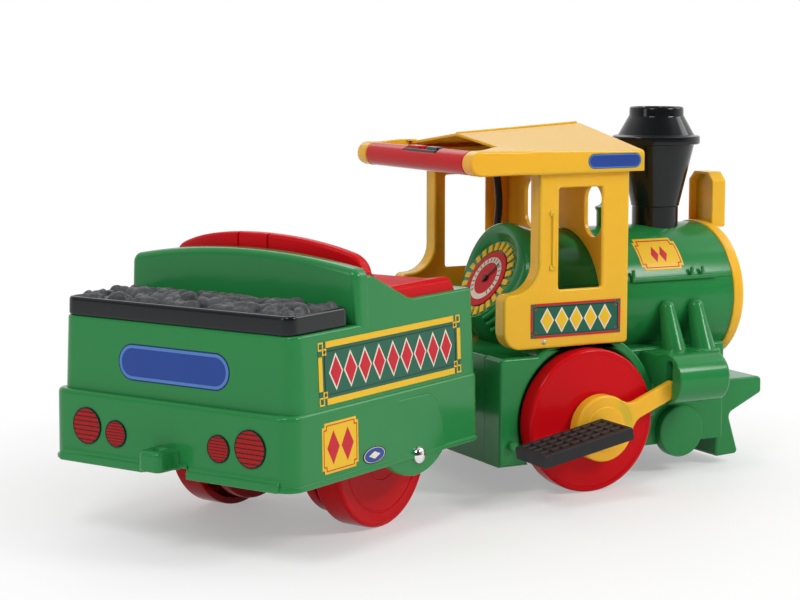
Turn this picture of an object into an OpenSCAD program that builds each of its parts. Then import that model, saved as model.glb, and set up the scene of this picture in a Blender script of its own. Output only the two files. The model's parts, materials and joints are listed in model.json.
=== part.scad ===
// Ride-on steam train: a locomotive that a child steers by bending it against its tender.
// Millimetres, +X forward along the locomotive, +Y to its left, +Z up, standing on the floor at z = 0.
// The tender is bent to one side at rest. The origin lies under the middle of the outline in that pose.

/* [Wheels] */
// Diameter of all four wheels
wheel_d = 216; // [200:1:222]
// Width of a front wheel
front_wheel_w = 30; // [24:1:34]
// Centre plane to the outer face of a front wheel
front_half_track = 192; // [188:1:196]
// Width of a rear wheel
rear_wheel_w = 43; // [36:1:46]
// Centre plane to the outer face of a rear wheel
rear_half_track = 135; // [130:1:138]
// Diameter of the smaller inner disc of a rear wheel
disc_d = 190; // [150:1:200]
// Width of that disc
disc_w = 18; // [12:1:22]
// Skin of the hollow wheels
wheel_wall = 5; // [4:0.5:6]
// Diameter of the steel axles
axle_d = 12; // [10:0.5:14]
// Ribs inside each wheel
rib_count = 6; // [4:1:10]

/* [Articulation] */
// Angle between the locomotive and its tender at rest
bend_angle = 28; // [20:1:30]
// Front axle back to the pivot
pivot_back = 241; // [232:1:250]
// Diameter of the pivot bolt
pivot_d = 16; // [12:1:18]
// Width of the drawbar tongue
tongue_w = 76; // [60:1:84]
// Thickness of the drawbar tongue
tongue_t = 30; // [24:1:34]
// Width of the fork round the tongue
fork_w = 90; // [80:1:100]
// Thickness of each fork plate
fork_t = 17; // [12:1:20]

/* [Locomotive body] */
// Half width of the body at the wheel arches
body_half_w = 170; // [166:1:174]
// Front axle back to the rear face
body_rear = 146; // [142:1:152]
// Underside of the body
body_bottom = 46; // [42:1:54]
// Top of the body behind the arches
body_top = 208; // [200:1:212]
// Thickness of the moulded walls
wall = 4; // [3:0.5:5]
// Half width of the frame under the boiler
frame_half_w = 128; // [122:1:134]
// Front axle to the front of the frame
frame_front = 290; // [280:1:300]
// Room between wheel and arch
arch_gap = 6; // [5:0.5:8]
// Thickness of the arch
arch_t = 16; // [10:1:18]

/* [Boiler] */
// Height of the boiler's centre line
boiler_z = 267; // [262:1:272]
// Outer diameter of the boiler
boiler_d = 224; // [216:1:228]
// Front axle to the front end of the boiler
boiler_front = 317; // [310:1:324]
// Height of the seam between the two shells above the centre line
seam_up = 33; // [20:1:40]
// Thickness of the front ring
ring_t = 20; // [16:1:26]
// Width of the headlamp housing
lamp_w = 66; // [56:1:76]
// Depth of the headlamp housing
lamp_depth = 26; // [20:1:32]
// Top of the headlamp housing above the boiler
lamp_h = 81; // [76:1:86]
// Diameter of the lamp lens
lens_d = 46; // [36:1:48]

/* [Stack and dome] */
// Front axle to the stack
stack_x = 241; // [232:1:250]
// Diameter of the stem of the stack
stem_d = 74; // [66:1:80]
// Diameter of the brim
brim_d = 140; // [130:1:150]
// Diameter of the top rim
rim_d = 86; // [78:1:92]
// Height of the brim's underside
brim_z = 508; // [502:1:514]
// Height of the cap from the brim's underside to its top
cap_h = 58; // [54:1:62]
// Front axle to the dome
dome_x = 168; // [162:1:172]
// Diameter of the dome's brim
dome_d = 64; // [56:1:70]
// Height of the dome above the boiler
dome_h = 48; // [42:1:54]

/* [Cab] */
// Half width over the cab sides
cab_half_w = 176; // [174:1:180]
// Thickness of a cab side
cab_t = 28; // [24:1:30]
// Front axle back to the rear edge of the cab side
cab_rear = 143; // [138:1:150]
// Front axle to the front edge of the cab side
cab_front_x = 72; // [70:1:80]
// Rear edge of the cab's rear post behind the front axle
post_rear = 84; // [78:1:90]
// Top of the low side plate
plate_top = 302; // [296:1:308]
// Width of the side window
window_w = 76; // [66:1:82]
// Height of the side window
window_h = 150; // [140:1:156]
// Sill of the side window
window_sill = 306; // [302:1:312]
// Rear post width
post_w = 33; // [28:1:36]
// Tilt of the dash from upright
dash_tilt = 30; // [24:1:36]
// Diameter of the dash plate
gauge_d = 104; // [90:1:110]

/* [Roof and grip] */
// Overhang of the roof past the cab sides
roof_out = 8; // [6:1:12]
// Lower edge of the roof
eave_low = 478; // [474:1:482]
// Upper edge of the roof's side band
eave_top = 508; // [504:1:512]
// Ridge height at the rear
ridge_rear = 531; // [526:1:536]
// Ridge height at the front
ridge_front = 544; // [540:1:548]
// Front axle back to the rear edge of the roof
roof_rear = 126; // [120:1:130]
// Front axle to the front edge of the roof
roof_front = 92; // [88:1:98]
// Front axle back to the grip bar
grip_back = 196; // [188:1:200]
// Height of the grip bar
grip_z = 494; // [492:1:495]
// Diameter of the grip bar
grip_d = 37; // [34:1:39]
// Width of an arm of the roof
arm_w = 36; // [30:1:40]
// Length of a push button
button_l = 35; // [30:1:38]
// Width of a push button
button_w = 15; // [12:1:16]
// Travel of a push button
button_travel = 3; // [2:0.5:4]

/* [Rods and pedals] */
// Throw of the crank boss on a front wheel
crank_throw = 13; // [10:0.5:13.5]
// Diameter of the crank boss
crank_d = 40; // [34:1:42]
// Diameter of the rod's big end
big_end_d = 100; // [92:1:104]
// Thickness of the big end
big_end_t = 20; // [18:1:22]
// Width of the rod
rod_w = 27; // [22:1:28]
// Thickness of the rod
rod_t = 12; // [10:1:14]
// Diameter of a steam cylinder
cylinder_d = 76; // [74:1:80]
// Length of a steam cylinder
cylinder_l = 94; // [86:1:100]
// Front axle to the rear end of a steam cylinder
cylinder_x = 127; // [124:1:132]
// Length of a pedal
pedal_l = 152; // [130:1:156]
// Width of a pedal
pedal_w = 80; // [70:1:84]
// Thickness of a pedal
pedal_t = 19; // [16:1:22]
// Tilt of a pedal, rear end down
pedal_tilt = 11; // [6:1:14]

/* [Tender] */
// Pivot back to the rear face of the tender
tender_rear = 510; // [500:1:516]
// Pivot back to the front face of the tender
tender_front = 73; // [68:1:78]
// Half width of the lower part
tender_half_w = 205; // [203:1:209]
// Half width of the upper part
upper_half_w = 202; // [198:1:203]
// Setback of the upper part at the rear
upper_setback = 13; // [8:1:18]
// Underside of the tender
tender_bottom = 104; // [98:1:108]
// Height of the ledge between the two parts
ledge_z = 202; // [196:1:206]
// Height of the rear deck
deck_z = 301; // [296:1:306]
// Top of the side walls beside the seat
side_top = 323; // [318:1:326]
// Top of the side walls at the arch
arch_side_top = 364; // [358:1:370]
// Top of the arch
arch_top = 389; // [382:1:396]
// Thickness of the arch wall
arch_wall_t = 28; // [24:1:32]
// Pivot back to the rear face of the arch
arch_back = 357; // [352:1:360]
// Pivot back to the rear axle
rear_axle_back = 229; // [222:1:236]
// Thickness of the side walls beside the seat
side_t = 12; // [8:1:14]
// Length of the tow tongue
tow_l = 30; // [26:1:36]
// Diameter of the tow hole
tow_d = 12; // [8:1:14]
// Depth of the deck before the seat
front_deck = 46; // [36:1:52]
// Reach of the rear bumper
bumper_out = 7; // [4:1:7]

/* [Seat and lid] */
// Half width of the backrest
back_half_w = 180; // [170:1:184]
// Top of the backrest
back_top = 409; // [404:1:414]
// Top of the backrest at its sides
back_side_top = 372; // [366:1:378]
// Length of the lid from front to back
lid_l = 128; // [118:1:130]
// Half width of the lid
lid_half_w = 193; // [184:1:195]
// Height of the lid's rim
lid_h = 25; // [20:1:28]
// Height of the coal above the rim
coal_h = 16; // [10:1:18]
// Depth of the storage tub
bin_depth = 132; // [110:1:140]
// Travel of the lid as it is lifted off
lid_lift = 80; // [60:5:100]

/* [Drive] */
// Module of the second gear pair
module_low = 2; // [1.8:0.1:2]
// Module of the first gear pair
module_high = 1.5; // [1.2:0.1:1.5]
// Teeth of each small gear
pinion_teeth = 12; // [11:1:13]
// Teeth of each large gear
wheel_teeth = 48; // [44:2:50]
// Width of the gears of the second pair
gear_w = 10; // [6:1:11]
// Diameter of the motor
motor_d = 36; // [30:1:40]
// Length of the motor
motor_l = 58; // [50:1:62]
// Length of the battery across the tender
battery_l = 150; // [120:1:160]
// Width of the battery along the tender
battery_w = 94; // [80:1:100]
// Height of the battery
battery_h = 50; // [40:1:56]

/* [Hidden] */
$fn = 64;

// Colours
green = [0.16, 0.43, 0.20];
yellow = [0.91, 0.67, 0.20];
red = [0.72, 0.05, 0.08];
black = [0.10, 0.10, 0.11];
steel = [0.70, 0.71, 0.73];

// Fits: radial running clearance, gap between neighbours, and the overrun of cuts
run_gap = 0.06;
part_gap = 0.3;
over = 2;
// Overlap of the pieces that one moulding is drawn from
join = 1;

// Wheels and axles
wheel_r = wheel_d / 2;
axle_z = wheel_r;
wheel_edge_r = wheel_wall;
hub_wall = 10;
hub_d = axle_d + 2 * hub_wall;
front_face_t = 6;
rib_t = 4;
disc_gap = 16;
disc_in = rear_half_track - rear_wheel_w - disc_w - disc_gap;
sleeve_l = 22;
sleeve_in = disc_in - sleeve_l;

// Locomotive frame and arches
arch_in_r = wheel_r + arch_gap;
arch_out_r = arch_in_r + arch_t;
arch_end_z = axle_z - arch_t / 2;
well_in = min(front_half_track - front_wheel_w, body_half_w - wall) - wall;
cab_bottom = wheel_d + wall;
frame_top_share = 0.3;
frame_top = min(boiler_z - boiler_d * frame_top_share, body_top);
boiler_r = boiler_d / 2;
cavity_top = boiler_z - boiler_r - wall;
bush_l = 14;
bush_d = axle_d + 2 * wall;
boss_d = bush_d + 2 * wall;
lug_w = 22;
lug_t = 8;
lug_h = 34;
lug_share = 0.45;
lug_in_y = min(cab_half_w - cab_t - part_gap - lug_t, body_half_w - wall);
// Inner side of the arches, which carry the lugs
arch_in_y = min(frame_half_w - wall, lug_in_y);

// Steam cylinders, pipes and pilot wheels on the sides of the frame
big_end_gap = 2;
big_end_in = front_half_track + big_end_gap;
big_end_out = big_end_in + big_end_t;
rod_in = big_end_out - rod_t;
cylinder_in = 8;
cylinder_y = rod_in + rod_t / 2 - cylinder_in;
cylinder_up = 54;
cylinder_z = axle_z + cylinder_up;
shelf_drop = 3;
shelf_l = 134;
shelf_w = 32;
pipe_d = 26;
pipe_foot_d = 40;
pipe_x_shares = [0.62, 1.2];
pipe_out = 12;
pipe_drop = 4;
elbow_d = 26;
pilot_wheel_d = 83;
pilot_wheel_x = 200;
pilot_wheel_z = 66;
pilot_wheel_t = 14;
peg_d = 14;
peg_l = 10;
peg_back = 127;
peg_z = 78;

// Pilot at the front, its side outline as shares of its length and height
pilot_front = 372;
pilot_top = 136;
pilot_bottom = 12;
pilot_half_w = 118;
beam_share = 0.18;
pilot_shares = [[0, 1], [1, 1], [1, 0.79], [0.22, 0.55], [0.48, 0.02], [-0.08, 0], [-0.08, 0.6]];

// Articulation heights, from the tongue outwards
tongue_z = 120;
washer_t = 3;
washer_d = 40;
tongue_top = tongue_z + tongue_t;
fork_up_z = tongue_top + washer_t + part_gap;
fork_low_z = tongue_z - washer_t - part_gap - fork_t;
bolt_head_side = 7;
bolt_head_d = pivot_d + 2 * bolt_head_side;
bolt_head_t = 10;
nut_t = 10;

// Boiler fittings
ring_over = 5;
ring_wall = 10;
ring_plate_t = 6;
ledge_in_share = 0.94;
ledge_out = 5;
ledge_t = 6;
ledge_x_shares = [0.39, 0.89];
post_x_shares = [0.4, 0.75, 0.815];
post_d = 6;
post_h = 13;
lamp_back = boiler_front + ring_t - ring_plate_t;
lamp_top = boiler_z + boiler_r + lamp_h;
lamp_sink = 8;
lamp_low = boiler_z + boiler_r - lamp_sink;
lamp_chamfer = 14;
lamp_wall = 4;
lens_z = lamp_top - lamp_chamfer - lens_d / 2;
lens_flange = 3;
lens_out = 3;

// Stack and dome
stem_h = 31;
stem_top = boiler_z + boiler_r + stem_h;
brim_side = 9;
cone_d = brim_d - 2 * brim_side;
saddle_share = 0.9;
brim_t = 14;
rim_h = 13;
cap_drop = 6;
stack_top = brim_z + cap_h;
seat_gap = 0.15;
dome_body_share = 0.8;
dome_neck_share = 0.5;
dome_brim_share = 0.66;
dome_tip_share = 0.38;

// Cab
dash_c = [-71, 0, 305];
dash_face_r = 80;
dash_face_x = -86;
gauge_t = 3;
scoop_r = 44;
corner_r = 10;
heel_r = 28;
window_r = 4;
cab_wall = 4;
roof_gap = 2;
cab_top = eave_top - cab_wall - roof_gap;
window_rear = -post_rear + post_w;
front_wall_t = 8;
front_wall_share = 0.43;
front_wall_x = arch_out_r * front_wall_share;
oval_w = 56;
oval_h = 78;
oval_y = 83;
oval_up = 32;
oval_z = boiler_z + boiler_r + oval_up;
screw_d = 8;
screw_head_d = 14;
screw_head_t = 3;
screw_back = 76;
screw_up = 10;

// Roof, grip and buttons
roof_wall = 4;
roof_half_w = cab_half_w + roof_out;
peg_w = 20;
grip_wall = 7.5;
grip_bore = grip_d - 2 * grip_wall;
grip_half = roof_half_w - arm_w - part_gap;
arm_side = 0.5;
arm_end_d = grip_d + 2 * arm_side;
pocket_gap = 1;
switch_w = 26;
switch_t = 4;
switch_side = 6;
flat_up = 12;
button_gap = 22;
button_mid = -16;
button_up = 6;
flange_t = 3;
flange_side = 2;
flange_end = 2.5;
button_y = [button_mid + (button_l + button_gap) / 2, button_mid - (button_l + button_gap) / 2];
switch_half = button_l + button_gap / 2 + switch_side;
micro_w = 14;
micro_l = 20;
plate_z = grip_z + flat_up;

// Lead from the roof to the body, a route of round points and its diameter
lead_d = 12;
lead_route = [[16, 132, 510], [20, 131, 470], [26, 130, 410], [18, 128, 350], [10, 124, 300],
    [6, 122, 220.5]];
lead_sides = 12;
lead_steps = 4;

// Rods and pedals
crank_angle = -45;
crank_x = crank_throw * cos(crank_angle);
crank_z = crank_throw * sin(crank_angle);
boss_l = 12;
face_d = 64;
face_t = 3;
boss_end_gap = 1;
rod_end_drop = 14;
rod_end_z = cylinder_z - rod_end_drop;
rod_end_in = 4;
rod_end_x = cylinder_x + rod_end_in;
tail_l = 28;
tail_h = 11;
slot_side = 2;
slot_room = 2.5;
pedal_in = big_end_out + face_t;
pedal_front = 5;
pin_d = 8;
pin_at = [12, 26];
pin_deep = 9;
pin_share = 0.6;
tread_rows = 2;
tread_columns = 5;
tread_border = 8;
tread_depth = 3;

// Tender
tender_rear_r = 22;
tender_front_r = 12;
lip_t = 8;
lip_out = 3;
bumper_t = 12;
platform_z = wheel_d + arch_gap;
seat_ledge_drop = 1;
seat_ledge_z = deck_z - seat_ledge_drop;
seat_ledge_w = 12;
seat_ledge_t = 5;
lobe_d = 84;
lobe_up = 16;
axle_boss_d = 44;
axle_boss_gap = 15;
axle_boss_in = rear_half_track + axle_boss_gap;
arch_curve_share = 0.95;
slope_shares = [0.11, 0.46];
slope_r = [26, 60];
upper_rear = tender_rear - upper_setback;
tow_w = 48;
tow_r = 12;
tow_z = 112;
tow_t = 28;
light_d = [48, 36];
light_y = [140, 88.5];
light_z = [154, 148];
light_t = 5;
cap_side = 6;
cap_d = axle_d + 2 * cap_side;
cap_t = 4;
cap_dome = 3;

// Seat: a pan with raised sides, and a back
seat_half_w = upper_half_w - side_t - part_gap;
seat_overhang = 6;
seat_front = tender_front + front_deck - seat_overhang;
seat_lip = 18;
seat_round = 6;
seat_dip = 3;
bolster_w = 30;
bolster_up = 16;
seat_skin = 7;
back_t = 22;
back_lean = 10;
groove_y = 25;
groove_w = 5;
groove_d = 4;
seat_knee_r = 34;
seat_screw_head_d = 10;

// Lid and tub
lid_gap = 3;
lid_wall = 5;
lid_r = 12;
lid_rear = upper_rear - lid_gap;
lid_front = lid_rear - lid_l;
lid_plate_drop = 6;
lid_plate_t = 4;
coal_columns = 22;
coal_rows = 8;
coal_seed = 7;
coal_low_share = 0.25;
coal_edge_share = 0.3;
bin_wall = 3;
bin_flange = 6;
bin_flange_t = 2;
bin_side = 16;

// Drive: the gear train lies forward of the rear axle
pressure_angle = 20;
tooth_play = 0.25;
centre_play = 0.2;
tooth_shares = [-1.25, -0.6, 0, 0.5, 0.9];
lay_angle = 30;
motor_angle = -10;
lay_pitch = module_low * (pinion_teeth + wheel_teeth) / 2 + centre_play;
motor_pitch = module_high * (pinion_teeth + wheel_teeth) / 2 + centre_play;
lay_x = -rear_axle_back + lay_pitch * cos(lay_angle);
lay_z = axle_z + lay_pitch * sin(lay_angle);
motor_x = lay_x + motor_pitch * cos(motor_angle);
motor_z = lay_z + motor_pitch * sin(motor_angle);
case_wall = 3;
case_room = 4;
case_gap = 4;
case_out = disc_in - case_gap;
case_w = 40;
case_in = case_out - case_w;
case_split = case_out - case_w / 2;
drive_gap = 1;
drive_y = -case_out + case_wall + drive_gap;
fast_gap = 3;
fast_y = -case_split + fast_gap;
fast_w = 6;
layshaft_d = 6;
shaft_d = 4;
gear_hub = 5;
case_low = axle_z - module_low * (wheel_teeth / 2 + 1) - case_room;
case_high = lay_z + module_high * (wheel_teeth / 2 + 1) + case_room;
case_back = -rear_axle_back - module_low * (wheel_teeth / 2 + 1) - case_room;
case_front = motor_x + motor_d / 2 + case_room;
pillar_l = 30;
shaft_end_gap = 1;
spacer_wall = 6;
spacer_d = axle_d + 2 * spacer_wall;
strap_w = 20;
strap_t = 3;
battery_gap = 40;
battery_x = -tender_front - battery_gap - battery_w;
terminal_d = 8;
terminal_h = 5;

// Sound unit under the boiler top
sound_l = 70;
sound_w = 50;
sound_h = 24;
sound_x = 40;
speaker_d = 60;
speaker_t = 18;

// Shift that puts the origin under the middle of the bent train's outline
tender_corner_x = -pivot_back - (tender_rear + lip_out - tender_rear_r) * cos(bend_angle)
    - (tender_half_w + lip_out - tender_rear_r) * sin(bend_angle) - tender_rear_r;
tender_corner_y = -(tender_rear + lip_out - tender_rear_r) * sin(bend_angle)
    - (tender_half_w + lip_out - tender_rear_r) * cos(bend_angle) - tender_rear_r;
mid_x = (tender_corner_x + pilot_front) / 2;
mid_y = (tender_corner_y + pedal_in + pedal_w) / 2;

// Helpers: placing, boxes, rods and slabs
module in_loco() {
    translate([-mid_x, -mid_y, 0]) children();
}

module in_tender() {
    in_loco() translate([-pivot_back, 0, 0]) rotate([0, 0, bend_angle]) children();
}

module both_sides() {
    children();
    mirror([0, 1, 0]) children();
}

// The right side is drawn; the left side is its mirror image
module on_side(left) {
    mirror([0, left ? 1 : 0, 0]) children();
}

module box(x, y, z) {
    translate([x[0], y[0], z[0]]) cube([x[1] - x[0], y[1] - y[0], z[1] - z[0]]);
}

module rod_x(d, x, y, z) {
    translate([x[0], y, z]) rotate([0, 90, 0]) cylinder(d = d, h = x[1] - x[0]);
}

module rod_y(d, y, x, z) {
    translate([x, y[0], z]) rotate([-90, 0, 0]) cylinder(d = d, h = y[1] - y[0]);
}

module rod_z(d, z, x, y) {
    translate([x, y, z[0]]) cylinder(d = d, h = z[1] - z[0]);
}

// A rod between two points
module strut(p, q, d) {
    v = q - p;
    translate(p) rotate([0, acos(v[2] / norm(v)), atan2(v[1], v[0])])
        cylinder(d1 = d[0], d2 = d[1], h = norm(v));
}

// An outline in X and Z, as thick as y
module side_slab(points, y) {
    translate([0, y[1], 0]) rotate([90, 0, 0]) linear_extrude(y[1] - y[0]) polygon(points);
}

// An outline in Y and Z, as long as x
module cross_slab(points, x) {
    translate([x[0], 0, 0]) rotate([90, 0, 90]) linear_extrude(x[1] - x[0]) polygon(points);
}

// An outline in X and Y, as high as z
module plan_slab(points, z) {
    translate([0, 0, z[0]]) linear_extrude(z[1] - z[0]) polygon(points);
}

// A profile of radius and reach, turned about an axle along Y and placed at x and z
module turned_y(points, x, z) {
    translate([x, 0, z]) rotate([90, 0, 0]) rotate_extrude() polygon(points);
}

// Outlines whose corners [a, b, r] are rounded to r
function unit(v) = v / norm(v);
function flat(p) = [p[0], p[1]];
function short_turn(a) = a > 180 ? a - 360 : a < -180 ? a + 360 : a;
function corner_arc(before, p, after, steps) =
    p[2] == 0 ? [flat(p)] :
    let (
        u = unit(flat(before) - flat(p)),
        w = unit(flat(after) - flat(p)),
        half = acos(u * w) / 2,
        c = flat(p) + unit(u + w) * p[2] / sin(half),
        s = flat(p) + u * p[2] / tan(half) - c,
        e = flat(p) + w * p[2] / tan(half) - c,
        from = atan2(s[1], s[0]),
        turn = short_turn(atan2(e[1], e[0]) - from)
    )
    [for (i = [0:steps]) c + p[2] * [cos(from + turn * i / steps), sin(from + turn * i / steps)]];
function rounded(points, steps = 6) = [
    for (i = [0:len(points) - 1])
        each corner_arc(points[(i + len(points) - 1) % len(points)], points[i],
            points[(i + 1) % len(points)], steps)
];
function plan_box(x, y, r_low, r_high) =
    rounded([[x[0], y[0], r_low], [x[1], y[0], r_high], [x[1], y[1], r_high], [x[0], y[1], r_low]]);

// The dash plane: local Z leaves the plate towards the driver
module on_dash() {
    translate(dash_c) rotate([0, dash_tilt - 90, 0]) children();
}

// Lower body of the locomotive
module loco_sides() {
    shelf_top = cylinder_z + cylinder_d / 2 - shelf_drop;
    box([-body_rear, 0], [-body_half_w, body_half_w], [body_bottom, body_top]);
    both_sides() intersection() {
        rod_y(2 * arch_out_r, [-body_half_w, -arch_in_y], 0, axle_z);
        box([-arch_out_r, arch_out_r], [-body_half_w, -arch_in_y], [arch_end_z, cab_bottom]);
    }
    box([-body_rear, frame_front], [-frame_half_w, frame_half_w], [body_bottom, frame_top]);
    intersection() {
        rod_x(boiler_d, [0, boiler_front], 0, boiler_z);
        box([0, boiler_front], [-boiler_r, boiler_r], [0, boiler_z + seam_up]);
    }
    both_sides() {
        rod_x(cylinder_d, [cylinder_x, cylinder_x + cylinder_l], -cylinder_y, cylinder_z);
        box([cylinder_x, cylinder_x + cylinder_l], [-cylinder_y, wall - frame_half_w],
            [cylinder_z - rod_w / 2, shelf_top]);
        box([cylinder_x, cylinder_x + shelf_l], [-frame_half_w - shelf_w, wall - frame_half_w],
            [cylinder_z - rod_w / 2, shelf_top]);
        for (share = pipe_x_shares) steam_pipe(cylinder_x + cylinder_l * share, shelf_top);
        rod_y(pilot_wheel_d, [-frame_half_w - pilot_wheel_t, wall - frame_half_w], pilot_wheel_x,
            pilot_wheel_z);
        rod_y(peg_d, [-body_half_w - peg_l, wall - body_half_w], -peg_back, peg_z);
    }
    pilot();
    box([-pivot_back, wall - body_rear], [-tongue_w / 2, tongue_w / 2], [tongue_z, tongue_top]);
    rod_z(tongue_w, [tongue_z, tongue_top], -pivot_back, 0);
}

module steam_pipe(x, foot) {
    low = [x, -frame_half_w - pipe_out, foot - pipe_d / 2];
    high = [x, -boiler_r, boiler_z - pipe_drop];
    strut(low, high, [pipe_foot_d, pipe_d]);
    translate(high) sphere(d = elbow_d);
}

module pilot() {
    l = pilot_front - frame_front;
    h = pilot_top - pilot_bottom;
    side_slab([for (s = pilot_shares) [frame_front + s[0] * l, pilot_bottom + s[1] * h]],
        [-pilot_half_w, pilot_half_w]);
}

module loco_hollows() {
    beam_h = pilot_top - pilot_bottom;
    box([frame_front - 2 * wall, pilot_front - 2 * wall], [wall - pilot_half_w, pilot_half_w - wall],
        [pilot_top - beam_h * beam_share, pilot_top - wall]);
    rod_x(boiler_d - 2 * wall, [-over, boiler_front + over], 0, boiler_z);
    difference() {
        box([wall - body_rear, frame_front - wall], [wall - frame_half_w, frame_half_w - wall],
            [-over, frame_top - wall]);
        rod_x(boiler_d, [-2 * wall, boiler_front], 0, boiler_z);
    }
    box([wall - body_rear, -wall], [wall - well_in, well_in - wall], [-over, body_top - wall]);
    box([-wall - over, arch_out_r - wall], [wall - well_in, well_in - wall], [-over, cavity_top]);
    box([wall - body_rear, -arch_in_r - wall], [wall - body_half_w, body_half_w - wall],
        [-over, body_top - wall]);
    both_sides() {
        rod_y(2 * arch_in_r, [-body_half_w - over, -well_in], 0, axle_z);
        rod_x(cylinder_d - 2 * wall, [cylinder_x + wall, cylinder_x + cylinder_l - wall], -cylinder_y,
            cylinder_z);
        box([cylinder_x - over, cylinder_x + wall + over],
            [-rod_in - rod_t - slot_side, -rod_in + slot_side],
            slot_z());
    }
}

// Height of the slot in a steam cylinder: the rod's own height there and its rise and fall over a turn
function rod_slope() = atan2(rod_end_z - axle_z - crank_z, rod_end_x - crank_x);
function slot_z() =
    let (
        half = rod_w / 2 / cos(rod_slope()),
        rise = crank_throw / cos(rod_slope()),
        rest = crank_z - crank_x * tan(rod_slope())
    )
    [rod_end_z - rest - rise - half - slot_room, rod_end_z - rest + rise + half + slot_room];

module cab_lugs() {
    for (x = [-screw_back - lug_w / 2, cab_front_x * lug_share - lug_w])
        box([x, x + lug_w], [cab_t - cab_half_w + part_gap, -lug_in_y],
            [body_top - wall, cab_bottom + lug_h]);
}

module loco_body() color(green) in_loco() difference() {
    union() {
        difference() {
            loco_sides();
            loco_hollows();
        }
        both_sides() {
            rod_y(boss_d, [-well_in, -well_in + bush_l], 0, axle_z);
            cab_lugs();
        }
    }
    both_sides() {
        rod_y(bush_d, [-well_in - over, -well_in + bush_l + over], 0, axle_z);
        cab_screw_hole();
    }
    rod_z(pivot_d + 2 * run_gap, [tongue_z - over, tongue_top + over], -pivot_back, 0);
}

// Upper boiler shell, with the ledge and its posts along each side
module boiler_top() color(green) in_loco() {
    seam_z = boiler_z + seam_up;
    difference() {
        rod_x(boiler_d, [0, boiler_front], 0, boiler_z);
        rod_x(boiler_d - 2 * wall, [-over, boiler_front + over], 0, boiler_z);
        box([-over, boiler_front + over], [-boiler_d, boiler_d], [0, seam_z]);
    }
    seam_y = sqrt(boiler_r * boiler_r - seam_up * seam_up);
    both_sides() {
        box([for (s = ledge_x_shares) s * boiler_front], [-seam_y - ledge_out, -seam_y * ledge_in_share],
            [seam_z, seam_z + ledge_t]);
        for (s = post_x_shares)
            rod_z(post_d, [seam_z + ledge_t, seam_z + ledge_t + post_h], s * boiler_front,
                -seam_y - ledge_out + post_d / 2);
    }
}

// Rear end of the boiler in the cab, tapering to the tilted dash
module backhead_form(inset) {
    intersection() {
        translate([-inset, 0, boiler_z]) rotate([0, 90, 0]) mirror([0, 0, 1])
            cylinder(r1 = boiler_r - inset, r2 = dash_face_r - inset, h = -dash_face_x);
        on_dash() translate([-boiler_d, -boiler_d, -boiler_d - inset])
            cube([2 * boiler_d, 2 * boiler_d, boiler_d]);
        box([-boiler_d, -inset], [-boiler_d, boiler_d], [body_top + inset, boiler_z + boiler_d]);
    }
}

module backhead() color(green) in_loco() difference() {
    backhead_form(0);
    translate([wall + over, 0, 0]) backhead_form(wall);
    backhead_form(wall);
}

module gauge_plate() color(red) in_loco() on_dash() translate([0, 0, part_gap / 2])
    cylinder(d = gauge_d, h = gauge_t);

// Front ring of the boiler with the headlamp housing, open at its back
module lamp_outline(inset) {
    half = lamp_w / 2 - inset;
    top = lamp_top - inset;
    polygon([[-half, lamp_low + inset], [half, lamp_low + inset], [half, top - lamp_chamfer],
        [half - lamp_chamfer, top], [lamp_chamfer - half, top], [-half, top - lamp_chamfer]]);
}

module lamp_slab(inset, x) {
    translate([x[0], 0, 0]) rotate([90, 0, 90]) linear_extrude(x[1] - x[0]) lamp_outline(inset);
}

module smokebox_front() color(yellow) in_loco() difference() {
    union() {
        difference() {
            rod_x(boiler_d + ring_over, [boiler_front, boiler_front + ring_t], 0, boiler_z);
            rod_x(boiler_d + ring_over - 2 * ring_wall, [boiler_front - over, lamp_back], 0, boiler_z);
        }
        lamp_slab(0, [lamp_back, lamp_back + lamp_depth]);
    }
    difference() {
        lamp_slab(lamp_wall, [lamp_back - over, lamp_back + lamp_depth - lamp_wall]);
        rod_x(boiler_d + ring_over, [boiler_front - over, boiler_front + ring_t + over], 0, boiler_z);
    }
    rod_x(lens_d, [lamp_back, lamp_back + lamp_depth + over], 0, lens_z);
}

module headlamp_lens() color("white") in_loco() {
    face = lamp_back + lamp_depth - lamp_wall - part_gap / 2;
    rod_x(lens_d + 2 * lens_flange, [face - lens_flange, face], 0, lens_z);
    rod_x(lens_d - 2 * part_gap, [face, face + lamp_wall + lens_out], 0, lens_z);
}

// What stands on the boiler is cut to its curve
module on_boiler(x) {
    difference() {
        translate([x, 0, 0]) children();
        rod_x(boiler_d + 2 * seat_gap, [-boiler_front, 2 * boiler_front], 0, boiler_z);
    }
}

module stack_base() color(black) in_loco() on_boiler(stack_x) {
    low = boiler_z + boiler_r * saddle_share;
    stem_r = stem_d / 2;
    cone_r = cone_d / 2;
    rotate_extrude() polygon([[stem_r, low], [stem_r, stem_top], [cone_r, brim_z],
        [cone_r - wall, brim_z],
        [stem_r - wall, stem_top], [stem_r - wall, low]]);
}

module stack_cap() color(black) in_loco() translate([stack_x, 0, 0]) {
    brim_r = brim_d / 2;
    rim_r = rim_d / 2;
    cone_r = cone_d / 2;
    lid_z = stack_top - cap_drop;
    rotate_extrude() polygon([[cone_r - 2 * wall, brim_z], [brim_r, brim_z], [brim_r, brim_z + brim_t],
        [cone_r, brim_z + brim_t], [rim_r, stack_top - rim_h], [rim_r, stack_top],
            [rim_r - wall, stack_top],
        [rim_r - wall, lid_z], [0, lid_z], [0, lid_z - wall], [rim_r - wall, lid_z - wall],
        [rim_r - wall, stack_top - rim_h], [cone_r - 2 * wall, brim_z + brim_t]]);
}

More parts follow.
